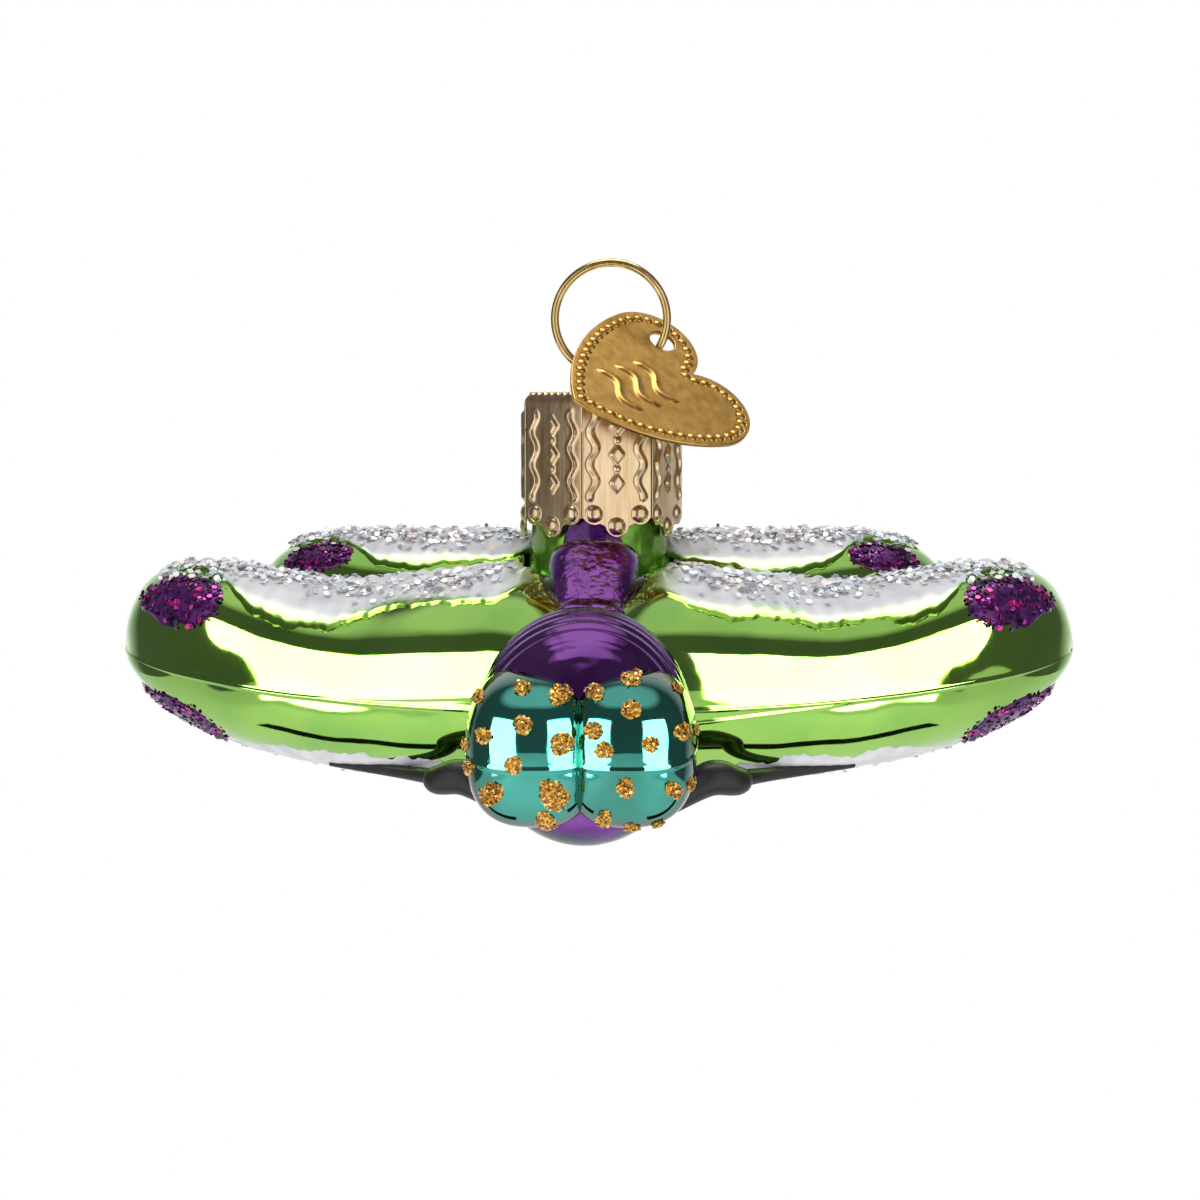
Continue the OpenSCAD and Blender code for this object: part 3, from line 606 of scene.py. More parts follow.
SPOT_FLAKES = 230
spot_places = {"forewing": (FORE, 43.1, -0.54, 4.8, 0.37), "hindwing": (HIND, 30.2, -0.40, 3.8, 0.30)}
for number, (wing, (w, x_mid, e_mid, x_half, e_half)) in enumerate(spot_places.items()):
    beds, parts, tints = [], [], []
    for face in (1, -1):
        beds.append(spot_bed(w, face, x_mid, e_mid, x_half, e_half))
        dice = np.random.default_rng(80 + number * 2 + face)
        r = dice.uniform(0, 1, SPOT_FLAKES) ** 0.35
        a = dice.uniform(0, 2 * np.pi, SPOT_FLAKES)
        x = x_mid + x_half * r * np.cos(a)
        e = np.clip(e_mid + e_half * r * np.sin(a), -0.96, 0.96)
        places, normals = on_wing(w, x, e, face, 0.2)
        made, tint = flakes(places, normals, PURPLE_SIZE, PURPLE, 90 + number * 2 + face, tilt=0.35)
        parts.append(made)
        tints.append(tint)
    bed, shape, tint = join(beds), join(parts), np.concatenate(tints)
    for side, lens, made in (("left", bed, shape), ("right", mirror(*bed), mirror(*shape))):
        add_piece(side + "_" + wing + "_spot_bed", lens, purple_bed, "glass",
                  [side + "_" + wing + "_spots"])
        add_piece(side + "_" + wing + "_spot_flakes", made, purple_flakes, "glass",
                  smooth=False, tint=tint)

# %% [markdown]
# ## Thorax and eyes
# The thorax is a bubble turned about the body's long axis, with fine rings in its upper half. The eyes
# are two full forms that meet in a groove and carry the mould seam. A sphere would look too round for
# them, so they are superellipsoids, with the same power as the wings.

# %% Thorax
THORAX_Y, THORAX_W, THORAX_L, THORAX_H = -33.0, 21.6, 23.0, 24.1
THORAX_RINGS = (-0.62, -0.5, -0.38, -0.26, -0.14, -0.02, 0.1, 0.2)


def thorax_shape():
    """An ellipsoid turned about the body's long axis, with fine raised rings on its upper half."""
    s = np.linspace(-0.999, 0.999, 120)[:, None]
    a = around(128)
    r = np.sqrt(1 - s ** 2)
    upper = smooth(-np.cos(a), -0.3, 0.3)
    for ring in THORAX_RINGS:
        r = r * (1 + 0.012 * upper * bump(s, ring + 0.02 * np.sin(3 * a), 0.035))
    x = THORAX_W / 2 * r * np.sin(a)
    z = -THORAX_H / 2 * r * np.cos(a)
    y = THORAX_Y + THORAX_L / 2 * s
    return closed_tube(on_body(xyz(x, y, z))[:, ::-1])


add_piece("thorax_glass", thorax_shape(), purple_lacquer, "glass", ["thorax"])

# %% Eyes
EYE_Y, EYE_SPREAD, EYE_W, EYE_L, EYE_H = THORAX_Y - 6.5, 9.4, 13.6, 16.2, 15.4
EYE_MIDDLE = np.array([EYE_SPREAD / 2, EYE_Y, 0])


def eye_point(direction, lift=0.0):
    """The point of the left eye in a direction from its middle: a superellipsoid, in the body's frame."""
    reach = (np.abs(direction) ** POWER).sum(axis=-1, keepdims=True) ** (-1 / POWER)
    half = np.array([EYE_W, EYE_L, EYE_H]) / 2 + np.asarray(lift)[..., None]
    return EYE_MIDDLE + direction * reach * half


def eye_shape():
    """The left eye as rings from its inner to its outer side, with the mould seam as a fine ridge."""
    a = np.linspace(0.02, np.pi - 0.02, 110)[:, None]
    b = around(180)
    b = b - 0.35 * np.sin(2 * b)
    direction = xyz(-np.cos(a), -np.sin(a) * np.cos(b), np.sin(a) * np.sin(b))
    seam = 0.12 * bump(direction[..., 2] * EYE_H / 2, 0, 0.2)
    points = on_body(eye_point(direction, seam))
    points[..., 0] = np.maximum(points[..., 0], -0.05)
    return closed_tube(points)


left_eye = eye_shape()
add_piece("left_eye_glass", left_eye, teal_lacquer, "glass", ["left_eye"])
add_piece("right_eye_glass", mirror(*left_eye), teal_lacquer, "glass", ["right_eye"])

# %% [markdown]
# ## Gold dots
# Drops of glue on the eyes are dusted with gold glitter. Each row below is a dot: how far across and up
# it lies from the eye's middle as seen from the front, and its diameter, in millimetres. A low drop
# gives the dot its body, and a heap of small flakes gives it the ragged edge.

# %% Gold dots on the eyes
LEFT_DOTS = np.array([
    [-2.8, 4.8, 1.8], [0.4, 6.6, 2.2], [4.8, 5.6, 1.5], [0.5, 3.3, 1.9], [-2.8, 1.4, 1.7],
    [5, 1.3, 1.7], [7.1, 1.8, 1.4], [-1.9, -0.4, 1.8], [2.3, 0.2, 1.6], [0, -3.9, 1.9],
    [4.2, -3.8, 1.5], [6.1, -3.5, 1.4], [-2, -6.4, 1.5], [0.4, -7.8, 1.8], [2.9, -7.3, 1.4]])
RIGHT_DOTS = np.array([
    [-0.8, 5.4, 1.6], [2.6, 4.6, 2.2], [-5, 4.5, 1.6], [-0.6, 1.9, 1.9], [-4.1, 0.9, 1.6],
    [2.9, 0.2, 2.3], [-6.5, 0.2, 1.4], [-1.5, -1.8, 1.9], [-5.8, -1.9, 1.4], [-3.5, -4.2, 2.2],
    [2.1, -4.4, 2.9], [1.3, -6.8, 2]])
DOT_TILT = np.radians(18.0)


def dot_direction(across, up):
    """The direction from the eye's middle to a dot that is seen from the front and a little above."""
    a = across / (EYE_W / 2)
    b = up / (EYE_H / 2)
    r = np.maximum(1, np.hypot(a, b) / 0.96)
    depth = -np.sqrt(np.maximum(1 - (a / r) ** 2 - (b / r) ** 2, 0))
    y = depth * np.cos(DOT_TILT) + b / r * np.sin(DOT_TILT)
    z = b / r * np.cos(DOT_TILT) - depth * np.sin(DOT_TILT)
    return xyz(a / r, y, z)


def dot_pieces(side, dots, seed):
    """A low drop of gold dust under each dot, and a heap of gold flakes on it."""
    dice = np.random.default_rng(seed)
    r = np.linspace(0.03, 1, 7)[:, None]
    a = around(20)
    drops, places, normals = [], [], []
    for across, up, d in dots:
        edge = 1 + 0.1 * np.sin(3 * a + dice.uniform(0, 6)) + 0.08 * np.sin(5 * a + dice.uniform(0, 6))
        x = side * across + 0.46 * d * r * edge * np.cos(a)
        z = up + 0.46 * d * r * edge * np.sin(a)
        lift = 0.34 * np.sqrt(np.maximum(1 - r ** 2, 0)) - 0.04 + 0 * a
        above = eye_point(dot_direction(x, z), lift)
        below = eye_point(dot_direction(x[::-1], z[::-1]), -0.3 + 0 * a)
        drops.append(closed_tube(on_body(np.concatenate([above, below]))))
        count = int(60 * d)
        rr, aa = np.sqrt(dice.uniform(0, 1, count)) * d * 0.43, dice.uniform(0, 2 * np.pi, count)
        heap = 0.06 + 0.24 * np.sqrt(1 - (rr / d * 2) ** 2)
        here = eye_point(dot_direction(side * across + rr * np.cos(aa), up + rr * np.sin(aa)), heap)
        places.append(on_body(here))
        normals.append(on_body(unit(here - EYE_MIDDLE)) - on_body(np.zeros(3)))
    places, normals = np.concatenate(places), np.concatenate(normals)
    grains, tint = flakes(places, normals, GOLD_SIZE, GOLD, seed + 1, tilt=0.4, sink=0.05)
    return join(drops), grains, tint


for side, sign, dots in (("left", 1, LEFT_DOTS), ("right", -1, RIGHT_DOTS)):
    drops, grains, tint = dot_pieces(sign, dots, 120 + sign)
    if sign < 0:
        drops, grains = mirror(*drops), mirror(*grains)
    add_piece(side + "_eye_dot_beds", drops, gold_bed, "glass", [side + "_eye_dots"])
    add_piece(side + "_eye_dot_grains", grains, gold_grains, "glass",
              smooth=False, tint=tint)

# %% [markdown]
# ## Back
# The back joins the thorax to the tail and rises to a crest in front of the neck. It is a loft: each row
# below is a station with its place along the body, its half width, its top and its depth, and the
# sections between them are superellipses.

# %% Back and waist
BACK_POWER, ROUND_POWER = 3.8, 2
BACK = np.array([
    [-26, 4.7, 7.8, 7.2], [-22, 4.3, 8.6, 7.5], [-18, 4.2, 9.8, 7.7], [-13, 4.9, 12.2, 7.8],
    [-9.5, 5.2, 13.4, 7.8], [-6, 5.1, 11.6, 7.8], [4, 5.0, 8.6, 6.6], [13.4, 5.0, 5.0, 5.0]])


def back_shape():
    """A loft between the stations of the back, smoothed along its length, with a waist under its crest."""
    y = np.linspace(BACK[0, 0], BACK[-1, 0], 90)
    from_knots = [np.interp(y, BACK[:, 0], BACK[:, i]) for i in (1, 2, 3)]
    ease = np.ones(9) / 9
    padded = [np.pad(knot, 4, mode="edge") for knot in from_knots]
    half, top, low = [np.convolve(row, ease, mode="valid")[:, None] for row in padded]
    a = around(96)
    power = BACK_POWER + (ROUND_POWER - BACK_POWER) * smooth(y, 8, 13.4)[:, None]
    c = np.sign(np.cos(a)) * np.abs(np.cos(a)) ** (2 / power)
    s = np.sign(np.sin(a)) * np.abs(np.sin(a)) ** (2 / power)
    ring = 1 + 0.05 * bump(y, -21, 0.9)[:, None] - 0.03 * bump(y, -18.5, 1.2)[:, None]
    forward = smooth(-y, 2, 8)[:, None]
    waist = 1 + forward * (0.14 * smooth(s, 0.62, 0.92) - 0.27 * bump(s, 0.45, 0.22))
    height = np.where(s > 0, top * ring, low) * s
    points = xyz(half * ring * waist * c, y[:, None], height)
    return closed_tube(on_body(points)[:, ::-1])


add_piece("back_glass", back_shape(), crackled_purple, "glass", ["mid_body"])

# %% [markdown]
# ## Neck
# The glass was blown through the neck, an open tube that the cap covers. It is a profile turned about
# the cap's axis: up the outside, over the rim and down the inside. The purple lacquer of the back runs
# up its front as a small apron, which is a thin patch on the tube. Neck and apron carry rougher copies
# of the lacquers, whose darker colours are painted shade.

# %% Neck under the cap
PETALS = 7
HALF_ANGLE = np.pi / PETALS
CAP_D, CAP_T, SHOULDER = 17.9, 0.35, 1.3
CAP_FLAT = CAP_D / 2 * np.cos(HALF_ANGLE)
NECK_R = CAP_FLAT - CAP_T - 0.5
NECK_WALL = 1.0
NECK_SEAT = PARTING + 9.8
NECK_BRIM = CAP_TOP - 1.9


def turned(profile, cols):
    """A closed shape turned about the cap's axis, from rows of radius and height along its profile."""
    r, z = np.asarray(profile, float).T[..., None]
    a = around(cols)
    return closed_tube(xyz(r * np.cos(a), r * np.sin(a), z)[:, ::-1])


neck_outside = [[NECK_R - NECK_WALL, PARTING + 2], [NECK_R, PARTING + 2.6], [NECK_R, NECK_SEAT - 0.4],
                [NECK_R, NECK_SEAT], [NECK_R - 0.02, NECK_SEAT + 4], [NECK_R - 0.02, NECK_BRIM - 0.4],
                [NECK_R - 0.3, NECK_BRIM]]
neck_inside = [[NECK_R - 0.7, NECK_BRIM], [NECK_R - NECK_WALL, NECK_BRIM - 0.4],
               [NECK_R - NECK_WALL, PARTING + 4]]
neck_shape = turned(neck_outside + neck_inside, 144)
add_piece("neck_glass", neck_shape, shaded_rough_green, "glass", ["neck"])


def stem_paint():
    """The painted apron from the back up the front of the neck: it flares below and narrows upwards."""
    z = np.linspace(0, 1, 60)[:, None]
    v = np.linspace(-1, 1, 50)[None, :]
    half = np.radians(36) * (1 - 0.5 * z) * np.minimum(1, np.sqrt(1.0001 - z) * 3)
    a = v * half - 0.1 * z
    height = PARTING + 7.0 + 5.4 * z
    flare = np.maximum(1 - z / 0.58, 0) ** 1.2
    rim = 0.04 + 2.2 * flare * np.sqrt(np.maximum(1 - v ** 2, 0)) * np.minimum(1, 8 * (1 - np.abs(v)))
    outer = xyz((NECK_R + rim) * np.sin(a), -(NECK_R + rim) * np.cos(a), height)
    inner = xyz((NECK_R - 0.2) * np.sin(a), -(NECK_R - 0.2) * np.cos(a), height)
    return closed_patch(outer[:, ::-1], inner[:, ::-1])


# The apron wears the rougher purple copy, darker as painted shade.
add_piece("neck_front_paint", stem_paint(), shaded_rough_purple, "glass")

# %% [markdown]
# ## Tail
# The tail is a rod of rings that tapers to a round tip. A row of spheres would pinch too sharply between
# the rings, so it is one profile, a straight taper plus rectified sine waves, turned about the body's
# long axis.

# %% Tail
TAIL_RINGS = 7
TAIL_START, TAIL_L, TAIL_D, TAIL_TIP = 13.4, 30.99, 10.0, 5.0


def tail_shape():
    """A tapering rod of round rings, turned about the body's long axis and closed by a round tip."""
    s = np.linspace(0, 1, 160)
    reach = TAIL_L - TAIL_TIP / 2
    r = TAIL_D / 2 + (TAIL_TIP - TAIL_D) / 2 * s
    r = r + 0.5 * (np.abs(np.sin(np.pi * TAIL_RINGS * s)) - 0.5) * np.minimum(1, 12 * s)
    tip = np.linspace(0.1, np.pi / 2 - 0.02, 20)
    r = np.concatenate([r, r[-1] * np.cos(tip)])
    y = np.concatenate([reach * s, reach + (TAIL_L - reach) * np.sin(tip)]) + TAIL_START
    a = around(64)
    r, y = r[:, None], y[:, None]
    return closed_tube(on_body(xyz(r * np.cos(a), y, r * np.sin(a)))[:, ::-1])


add_piece("tail_glass", tail_shape(), purple_lacquer, "glass", ["tail"])

# %% [markdown]
# ## Legs
# The legs are moulded in relief on the underside and painted black. Each is a tapering tube along a few
# bends. A row below holds the place of a bend and the leg's radius there, so that one curve gives both.

# %% Tubes along a path
def smooth_path(knots, count):
    """A curve through the knots: a cubic between each pair, with slopes from the knots on either side."""
    knots = np.asarray(knots, float)
    ends = np.concatenate([[2 * knots[0] - knots[1]], knots, [2 * knots[-1] - knots[-2]]])
    t = np.linspace(0, len(knots) - 1, count)
    i = np.minimum(t.astype(int), len(knots) - 2)
    f = (t - i)[:, None]
    p0, p1, p2, p3 = ends[i], ends[i + 1], ends[i + 2], ends[i + 3]
    lower = 2 * p1 + (p2 - p0) * f + (2 * p0 - 5 * p1 + 4 * p2 - p3) * f ** 2
    return 0.5 * (lower + (3 * p1 - p0 - 3 * p2 + p3) * f ** 3)


def tube(path, radius, cols, up):
    """A round tube along a path, with its radius at each point."""
    along = unit(np.gradient(path, axis=0))
    across = unit(np.cross(along, up))
    other = np.cross(across, along)
    a = around(cols)[..., None]
    radius = np.broadcast_to(radius, len(path))[:, None, None]
    return closed_tube(path[:, None] + radius * (across[:, None] * np.cos(a) + other[:, None] * np.sin(a)))


LEGS = [
    [[8.6, -31, -8.8, 1], [12.4, -30, -6.4, 1.8], [15.2, -29, -6.9, 1.5], [16.5, -25.5, -7.6, 0.85],
     [27, -19.5, -8.1, 0.4]],
    [[8, -25, -8.6, 1.2], [13.5, -18, -8.8, 1], [21, -13.5, -8.6, 0.5]],
    [[5, -13, -7.8, 1.1], [9, -8, -8.6, 0.9], [13, -6, -7.6, 0.5]]]
leg_parts = []
for row in LEGS:
    run = smooth_path(row, 60)
    leg_parts.append(tube(on_body(run[:, :3]), run[:, 3], 20, np.array([0.2, 0.1, 1.0])))
legs = join(leg_parts)
add_piece("left_leg_relief", legs, leg_black, "glass", ["left_legs"])
add_piece("right_leg_relief", mirror(*legs), leg_black, "glass", ["right_legs"])

# %% [markdown]
# ## The stamped cap
# The cap is one thin brass stamping with seven petals. It could be cut out of a turned cup, but the slits
# and the pattern repeat, so one petal is made and turned seven times: a grid that runs up the flat, over
# a round shoulder and in to the middle of the top. Wavy ribs, lozenges and beads are pressed outwards,
# and the petal's lower edge follows its beads.

# %% Petals
CAP_TURN = np.radians(16.0)
SLIT_TOP = 3.0
BEADS = ((-2.45, 2.5), (0.0, 1.2), (2.45, 2.5))
BEAD_R, BEAD_H, BEAD_EDGE, EDGE_LEVEL = 0.85, 0.44, 1.2, 2.0
LOZENGES, DROPS = (5.7, 8.7, 11.7), (7.2, 10.2)


def dome(distance, radius, height):
    """A round bead of a given radius and height, by the distance from its middle."""
    return height * np.sqrt(np.maximum(1 - (distance / radius) ** 2, 0))


def petal_edge(x):
    """Height of a petal's lower edge over the cap's tip: round the beads, a web between, then level."""
    edge = EDGE_LEVEL + 0 * x
    for bead_x, bead_z in BEADS:
        away = x - bead_x
        below = bead_z - dome(away, BEAD_EDGE, BEAD_EDGE)
        edge = np.minimum(edge, np.where(np.abs(away) < BEAD_EDGE, below, EDGE_LEVEL))
    web = 0.45 + 0.53 * np.abs(x)
    return np.minimum(edge, np.where(np.abs(x) < 2.6, web, EDGE_LEVEL))


def petal_shape():
    """One petal facing -Y: u runs across it, and s up its profile from the lower edge to the top's middle.

    The sheet goes straight up, round the shoulder and in. The pattern is a height along its normal: the
    highest of the wavy ribs, the beads, the lozenges, the drops and the row of small beads at the rim.
    """
    u = np.linspace(-1, 1, 61)[None, :]
    straight = CAP_H - SHOULDER
    bend = SHOULDER * np.pi / 2
    inwards = CAP_FLAT - SHOULDER
    s = np.concatenate([np.linspace(0, straight, 88), straight + np.linspace(0.1, bend, 10),
                        straight + bend + np.linspace(0.2, inwards - 0.02, 14)])[:, None]
    turn = np.clip((s - straight) / SHOULDER, 0, np.pi / 2)
    over = np.maximum(s - straight - bend, 0)
    out = CAP_FLAT - SHOULDER * (1 - np.cos(turn)) - over
    room = 0.17 * (1 - smooth(s, straight - SLIT_TOP, straight - SLIT_TOP + 0.6))
    x = u * (np.maximum(out, 0.02) * np.tan(HALF_ANGLE) - room)
    z = CAP_TIP + np.minimum(s, straight) + SHOULDER * np.sin(turn)
    z = z + petal_edge(x) * np.maximum(1 - s / 5.0, 0)
    height = z - CAP_TIP
    fade = smooth(height, 3.6, 4.3) * (1 - smooth(height, 12.9, 13.6))
    wave = 2.55 + 0.34 * np.sin(2 * np.pi * height / 3.4)
    press = 0.36 * fade * bump(np.abs(x), wave, 0.27)
    for bead_x, bead_z in BEADS:
        press = np.maximum(press, dome(np.hypot(x - bead_x, height - bead_z), BEAD_R, BEAD_H))
    for lozenge_z in LOZENGES:
        reach = np.abs(x) / 0.95 + np.abs(height - lozenge_z) / 1.25
        press = np.maximum(press, 0.32 * smooth(1 - reach, 0, 0.45))
    for drop_z in DROPS:
        press = np.maximum(press, dome(np.hypot(x, height - drop_z), 0.36, 0.26))
    row = (x + 0.425) % 0.85 - 0.425
    rim = dome(np.hypot(row, s - straight - 0.75 * bend), 0.3, 0.16) * (np.abs(u) < 0.96)
    press = np.maximum(press, rim)
    bow = 0.12 * (1 - u ** 2) * np.cos(turn) * smooth(straight - s, -1, 1)
    normal = xyz(0 * x, -np.cos(turn), np.sin(turn))
    sheet = xyz(x, -out, z)
    outer = sheet + normal * (press + bow - 0.14 * np.cos(turn) - 0.02)[..., None]
    inner = sheet + normal * (press * 0.6 - CAP_T)[..., None]
    return closed_patch(outer[:, ::-1], inner[:, ::-1])


def turn_about_axis(points, angle):
    """Turns points about the cap's axis."""
    c, s = np.cos(angle), np.sin(angle)
    return points @ np.array([[c, s, 0], [-s, c, 0], [0, 0, 1]])


petal_points, petal_faces = petal_shape()
turns = CAP_TURN + 2 * HALF_ANGLE * np.arange(PETALS)
cap_shape = join([(turn_about_axis(petal_points, turn), petal_faces) for turn in turns])
add_piece("stamped_cap", cap_shape, cap_brass, "cap_and_hanger", ["cap"])

# %% [markdown]
# ## Hanger wire
# One wire makes the loop and two legs that spring apart inside the neck. A curve object with a bevel
# would do, but a round profile carried along a smooth path through the bends is a closed mesh at once.

# %% Wire
# The drawn wire is a hair thinner than the CAD wire.
WIRE_R = 0.447
HOLE = 1.7
LOOP_START, LOOP_END = 40, 22
LEG_SPREAD = 2 * (NECK_R - NECK_WALL - WIRE_D / 2 - 0.3)


def spring_leg(side):
    """One leg from its foot up to the cap's top, as knots of the path."""
    return [[side * (LEG_SPREAD / 2 - 0.6), 0, CAP_TOP - 13], [side * LEG_SPREAD / 2, 0, CAP_TOP - 11.6],
            [side * (HOLE + 0.5), 0, CAP_TOP - 5.3], [side * HOLE, 0, CAP_TOP - 3.9],
            [side * HOLE, 0, CAP_TOP + 0.4]]


angles = np.radians(-LOOP_START - (360 - LOOP_START - LOOP_END) * np.linspace(0, 1, 40))
loop = xyz(LOOP_LEAN + LOOP_R * np.sin(angles), 0, LOOP_Z - LOOP_R * np.cos(angles))
knots = spring_leg(-1) + [[-HOLE - 0.1, 0, CAP_TOP + 1.6], [-HOLE - 0.4, 0, CAP_TOP + 2.5]] + loop.tolist()
knots += [[HOLE + 0.6, 0, CAP_TOP + 1.6], [HOLE + 0.1, 0, CAP_TOP + 1.1]] + spring_leg(1)[::-1]
wire_path = smooth_path(knots, 600)
wire = tube(wire_path, WIRE_R, 18, np.array([0.0, 1.0, 0.0]))
add_piece("hanger_loop_wire", wire, wire_brass, "cap_and_hanger", ["hanger_wire"])

# %% [markdown]
# ## Heart tag
# The tag is a thin stamped heart with a row of beads pressed up along its edge, three waves on its face
# and a punched hole for the wire. Rings of points run from its middle to its outline. A Boolean cut
# would leave ragged faces at the hole, so the faces inside it are left out and the points round it are
# moved onto its circle. A Solidify modifier then gives the sheet its thickness.

# %% Tag
# The sheet is thinner and its hole wider than in the CAD model, so that it swings clear of the wire.
TAG_L, LOBE_R, LOBE_W, SIDE_R, TAG_T = 20.0, 5.3, 4.8, 18.3, 0.42
LOBE_U = TAG_L - LOBE_R
TAG_HOLE = np.array([16.6, 5.2])
TAG_HOLE_R = 1.45
TAG_ON_LOOP = np.radians(60)
TAG_TURNS = np.radians([43.7, -9, 44.6])


def arc(middle, radius, start, end, count):
    """Points along a circle from one angle to another."""
    a = np.linspace(start, end, count)
    return np.stack([middle[0] + radius * np.cos(a), middle[1] + radius * np.sin(a)], axis=1)


def heart_outline(inset, count):
    """The heart's edge, moved in by inset: a long arc from the point, a lobe and the notch, then mirrored.

    The long arc's middle is SIDE_R from the point, and SIDE_R less LOBE_R from the lobe's middle.
    """
    far, lean = np.hypot(LOBE_U, LOBE_W), np.arctan2(LOBE_W, LOBE_U)
    run = (SIDE_R ** 2 - (SIDE_R - LOBE_R) ** 2 + far ** 2) / (2 * far)
    drop = np.sqrt(SIDE_R ** 2 - run ** 2)
    side = (run * np.cos(lean) + drop * np.sin(lean), run * np.sin(lean) - drop * np.cos(lean))
    meet = np.arctan2(LOBE_W - side[1], LOBE_U - side[0])
    last = -np.arcsin(LOBE_W / LOBE_R)
    notch = LOBE_U + LOBE_R * np.cos(last)
    start = np.pi - np.arcsin(-side[1] / (SIDE_R - inset))
    half = np.concatenate([arc(side, SIDE_R - inset, start, meet, 160),
                           arc((LOBE_U, LOBE_W), LOBE_R - inset, meet, last, 160),
                           arc((notch, 0), inset, last + np.pi, np.pi, 30)])
    edge = np.concatenate([half, half[-2:0:-1] * [1, -1], half[:1]])
    length = np.concatenate([[0], np.cumsum(np.linalg.norm(np.diff(edge, axis=0), axis=1))])
    t = np.linspace(0, length[-1], count, endpoint=False)
    return np.stack([np.interp(t, length, edge[:, i]) for i in (0, 1)], axis=1)


def tag_sheet():
    """The face of the heart: rings from its middle outwards, beads near the edge, a hole cut clean."""
    edge = heart_outline(0, 480)
    middle = np.array([11.0, 0.0])
    r = np.linspace(0.012, 1, 100)[:, None, None]
    flat = middle + r * (edge - middle)
    beads = heart_outline(1.0, 52)
    gap = np.min(np.linalg.norm(flat[:, :, None] - beads[None, None], axis=-1), axis=-1)
    height = dome(gap, 0.36, 0.22)
    along, across = flat[..., 0] - 9.0, flat[..., 1]
    for place in (-2.6, 0.0, 2.6):
        wave = place + 0.55 * np.sin(across * 1.25)
        height = np.maximum(height, 0.2 * bump(along, wave, 0.3) * (1 - smooth(np.abs(across), 2.6, 3.4)))
    rows, cols = flat.shape[:2]
    points = np.concatenate([np.dstack([flat, height]).reshape(-1, 3), [[*middle, 0]]])
    faces = grid_faces(rows, cols, True)
    j = np.arange(cols)
    fan = np.stack([np.full(cols, rows * cols), j, (j + 1) % cols], axis=-1)
    away = np.linalg.norm(points[:, :2] - TAG_HOLE, axis=1)
    inside = away[faces].mean(axis=1) < TAG_HOLE_R
    rim = np.intersect1d(faces[inside].ravel(), faces[~inside].ravel())
    rim = np.union1d(rim, np.flatnonzero(away < TAG_HOLE_R))
    outwards = (points[rim, :2] - TAG_HOLE) / np.maximum(away[rim, None], 1e-6)
    points[rim, :2] = TAG_HOLE + outwards * TAG_HOLE_R
    corners = np.concatenate([faces[~inside].ravel(), fan.ravel()])
    used, faces_kept = np.unique(corners, return_inverse=True)
    kept = faces_kept[:faces[~inside].size].reshape(-1, 4)
    fan = faces_kept[faces[~inside].size:].reshape(-1, 3)
    return points[used], [kept, fan]


def on_loop(points):
    """Hangs the tag on the wire: turned about X, Y and Z, with its hole on the right of the loop."""
    x, y, z = TAG_TURNS
    turn_x = np.array([[1, 0, 0], [0, np.cos(x), -np.sin(x)], [0, np.sin(x), np.cos(x)]])
    turn_y = np.array([[np.cos(y), 0, np.sin(y)], [0, 1, 0], [-np.sin(y), 0, np.cos(y)]])
    turn_z = np.array([[np.cos(z), -np.sin(z), 0], [np.sin(z), np.cos(z), 0], [0, 0, 1]])
    pivot = np.array([LOOP_LEAN + LOOP_R * np.sin(TAG_ON_LOOP), 0, LOOP_Z - LOOP_R * np.cos(TAG_ON_LOOP)])
    return (points - [*TAG_HOLE, -0.2]) @ (turn_z @ turn_y @ turn_x).T + pivot


tag_points, tag_faces = tag_sheet()
tag_shape = (on_loop(tag_points + [0, 0, TAG_T / 2]), tag_faces)
tag = add_piece("heart_tag_sheet", tag_shape, tag_brass, "tag", ["heart_tag"])
sheet = tag.modifiers.new("sheet thickness", "SOLIDIFY")
sheet.thickness = TAG_T * MM
sheet.offset = -1.0

# %% [markdown]
# ## Studio
# The ornament hangs over a pale floor in front of white. Two tall soft boxes stand left and right of the
# camera and one hangs overhead. The room between them is dim, and the mirror lacquer needs that: bright
# boxes and dark gaps make the bands along the wings. The tall boxes light the mirror glass strongly, and
# weaker copies and the overhead box light all the rest, which light linking allows. Two black cards under
# the wings draw the dark line below their seam.

# %% Floor and world
FLOOR_DROP, FLOOR_SIZE = 0.42, 2.4
floor_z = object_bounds()[0][2] - FLOOR_DROP
bpy.ops.mesh.primitive_plane_add(size=FLOOR_SIZE, location=(0, 0, floor_z))
floor = bpy.context.object
floor.name = "floor"
# The floor glows more for the camera, so that it looks nearly as white as the backdrop.
white, tree, shader = new_finish("white studio floor")
ray = add(tree, "ShaderNodeLightPath")
glow = add(tree, "ShaderNodeMapRange", {"Value": ray.outputs["Is Camera Ray"],
                                        "To Min": 0.34, "To Max": 0.8})
set_inputs(shader, {"Base Color": linear("#F4F4F4"), "Roughness": 0.9, "Emission Color": (1, 1, 1, 1),
                    "Emission Strength": glow.outputs["Result"]})
floor.data.materials.append(white)

# The camera sees white. Mirrors see a dim room, bright behind the ornament and overhead, and matt surfaces
# get an even fill.
world = bpy.data.worlds.new("studio")
bpy.context.scene.world = world
world.use_nodes = True
tree = world.node_tree
tree.nodes.clear()
ray = add(tree, "ShaderNodeLightPath")
side = add(tree, "ShaderNodeSeparateXYZ", {"Vector": add(tree, "ShaderNodeTexCoord").outputs["Generated"]})
behind = add(tree, "ShaderNodeMapRange", {"Value": side.outputs["Y"], "From Min": 0.5, "From Max": 0.85,
                                          "To Min": 0.13, "To Max": 1.0})
above = add(tree, "ShaderNodeMapRange", {"Value": side.outputs["Z"], "From Min": 0.82, "From Max": 0.92,
                                         "To Min": 0.0, "To Max": 0.85})
room = add(tree, "ShaderNodeMath", {0: behind.outputs["Result"], 1: above.outputs["Result"]},
           operation="MAXIMUM")
shine = add(tree, "ShaderNodeMath", {0: ray.outputs["Is Glossy Ray"],
                                     1: ray.outputs["Is Transmission Ray"]}, operation="MAXIMUM")
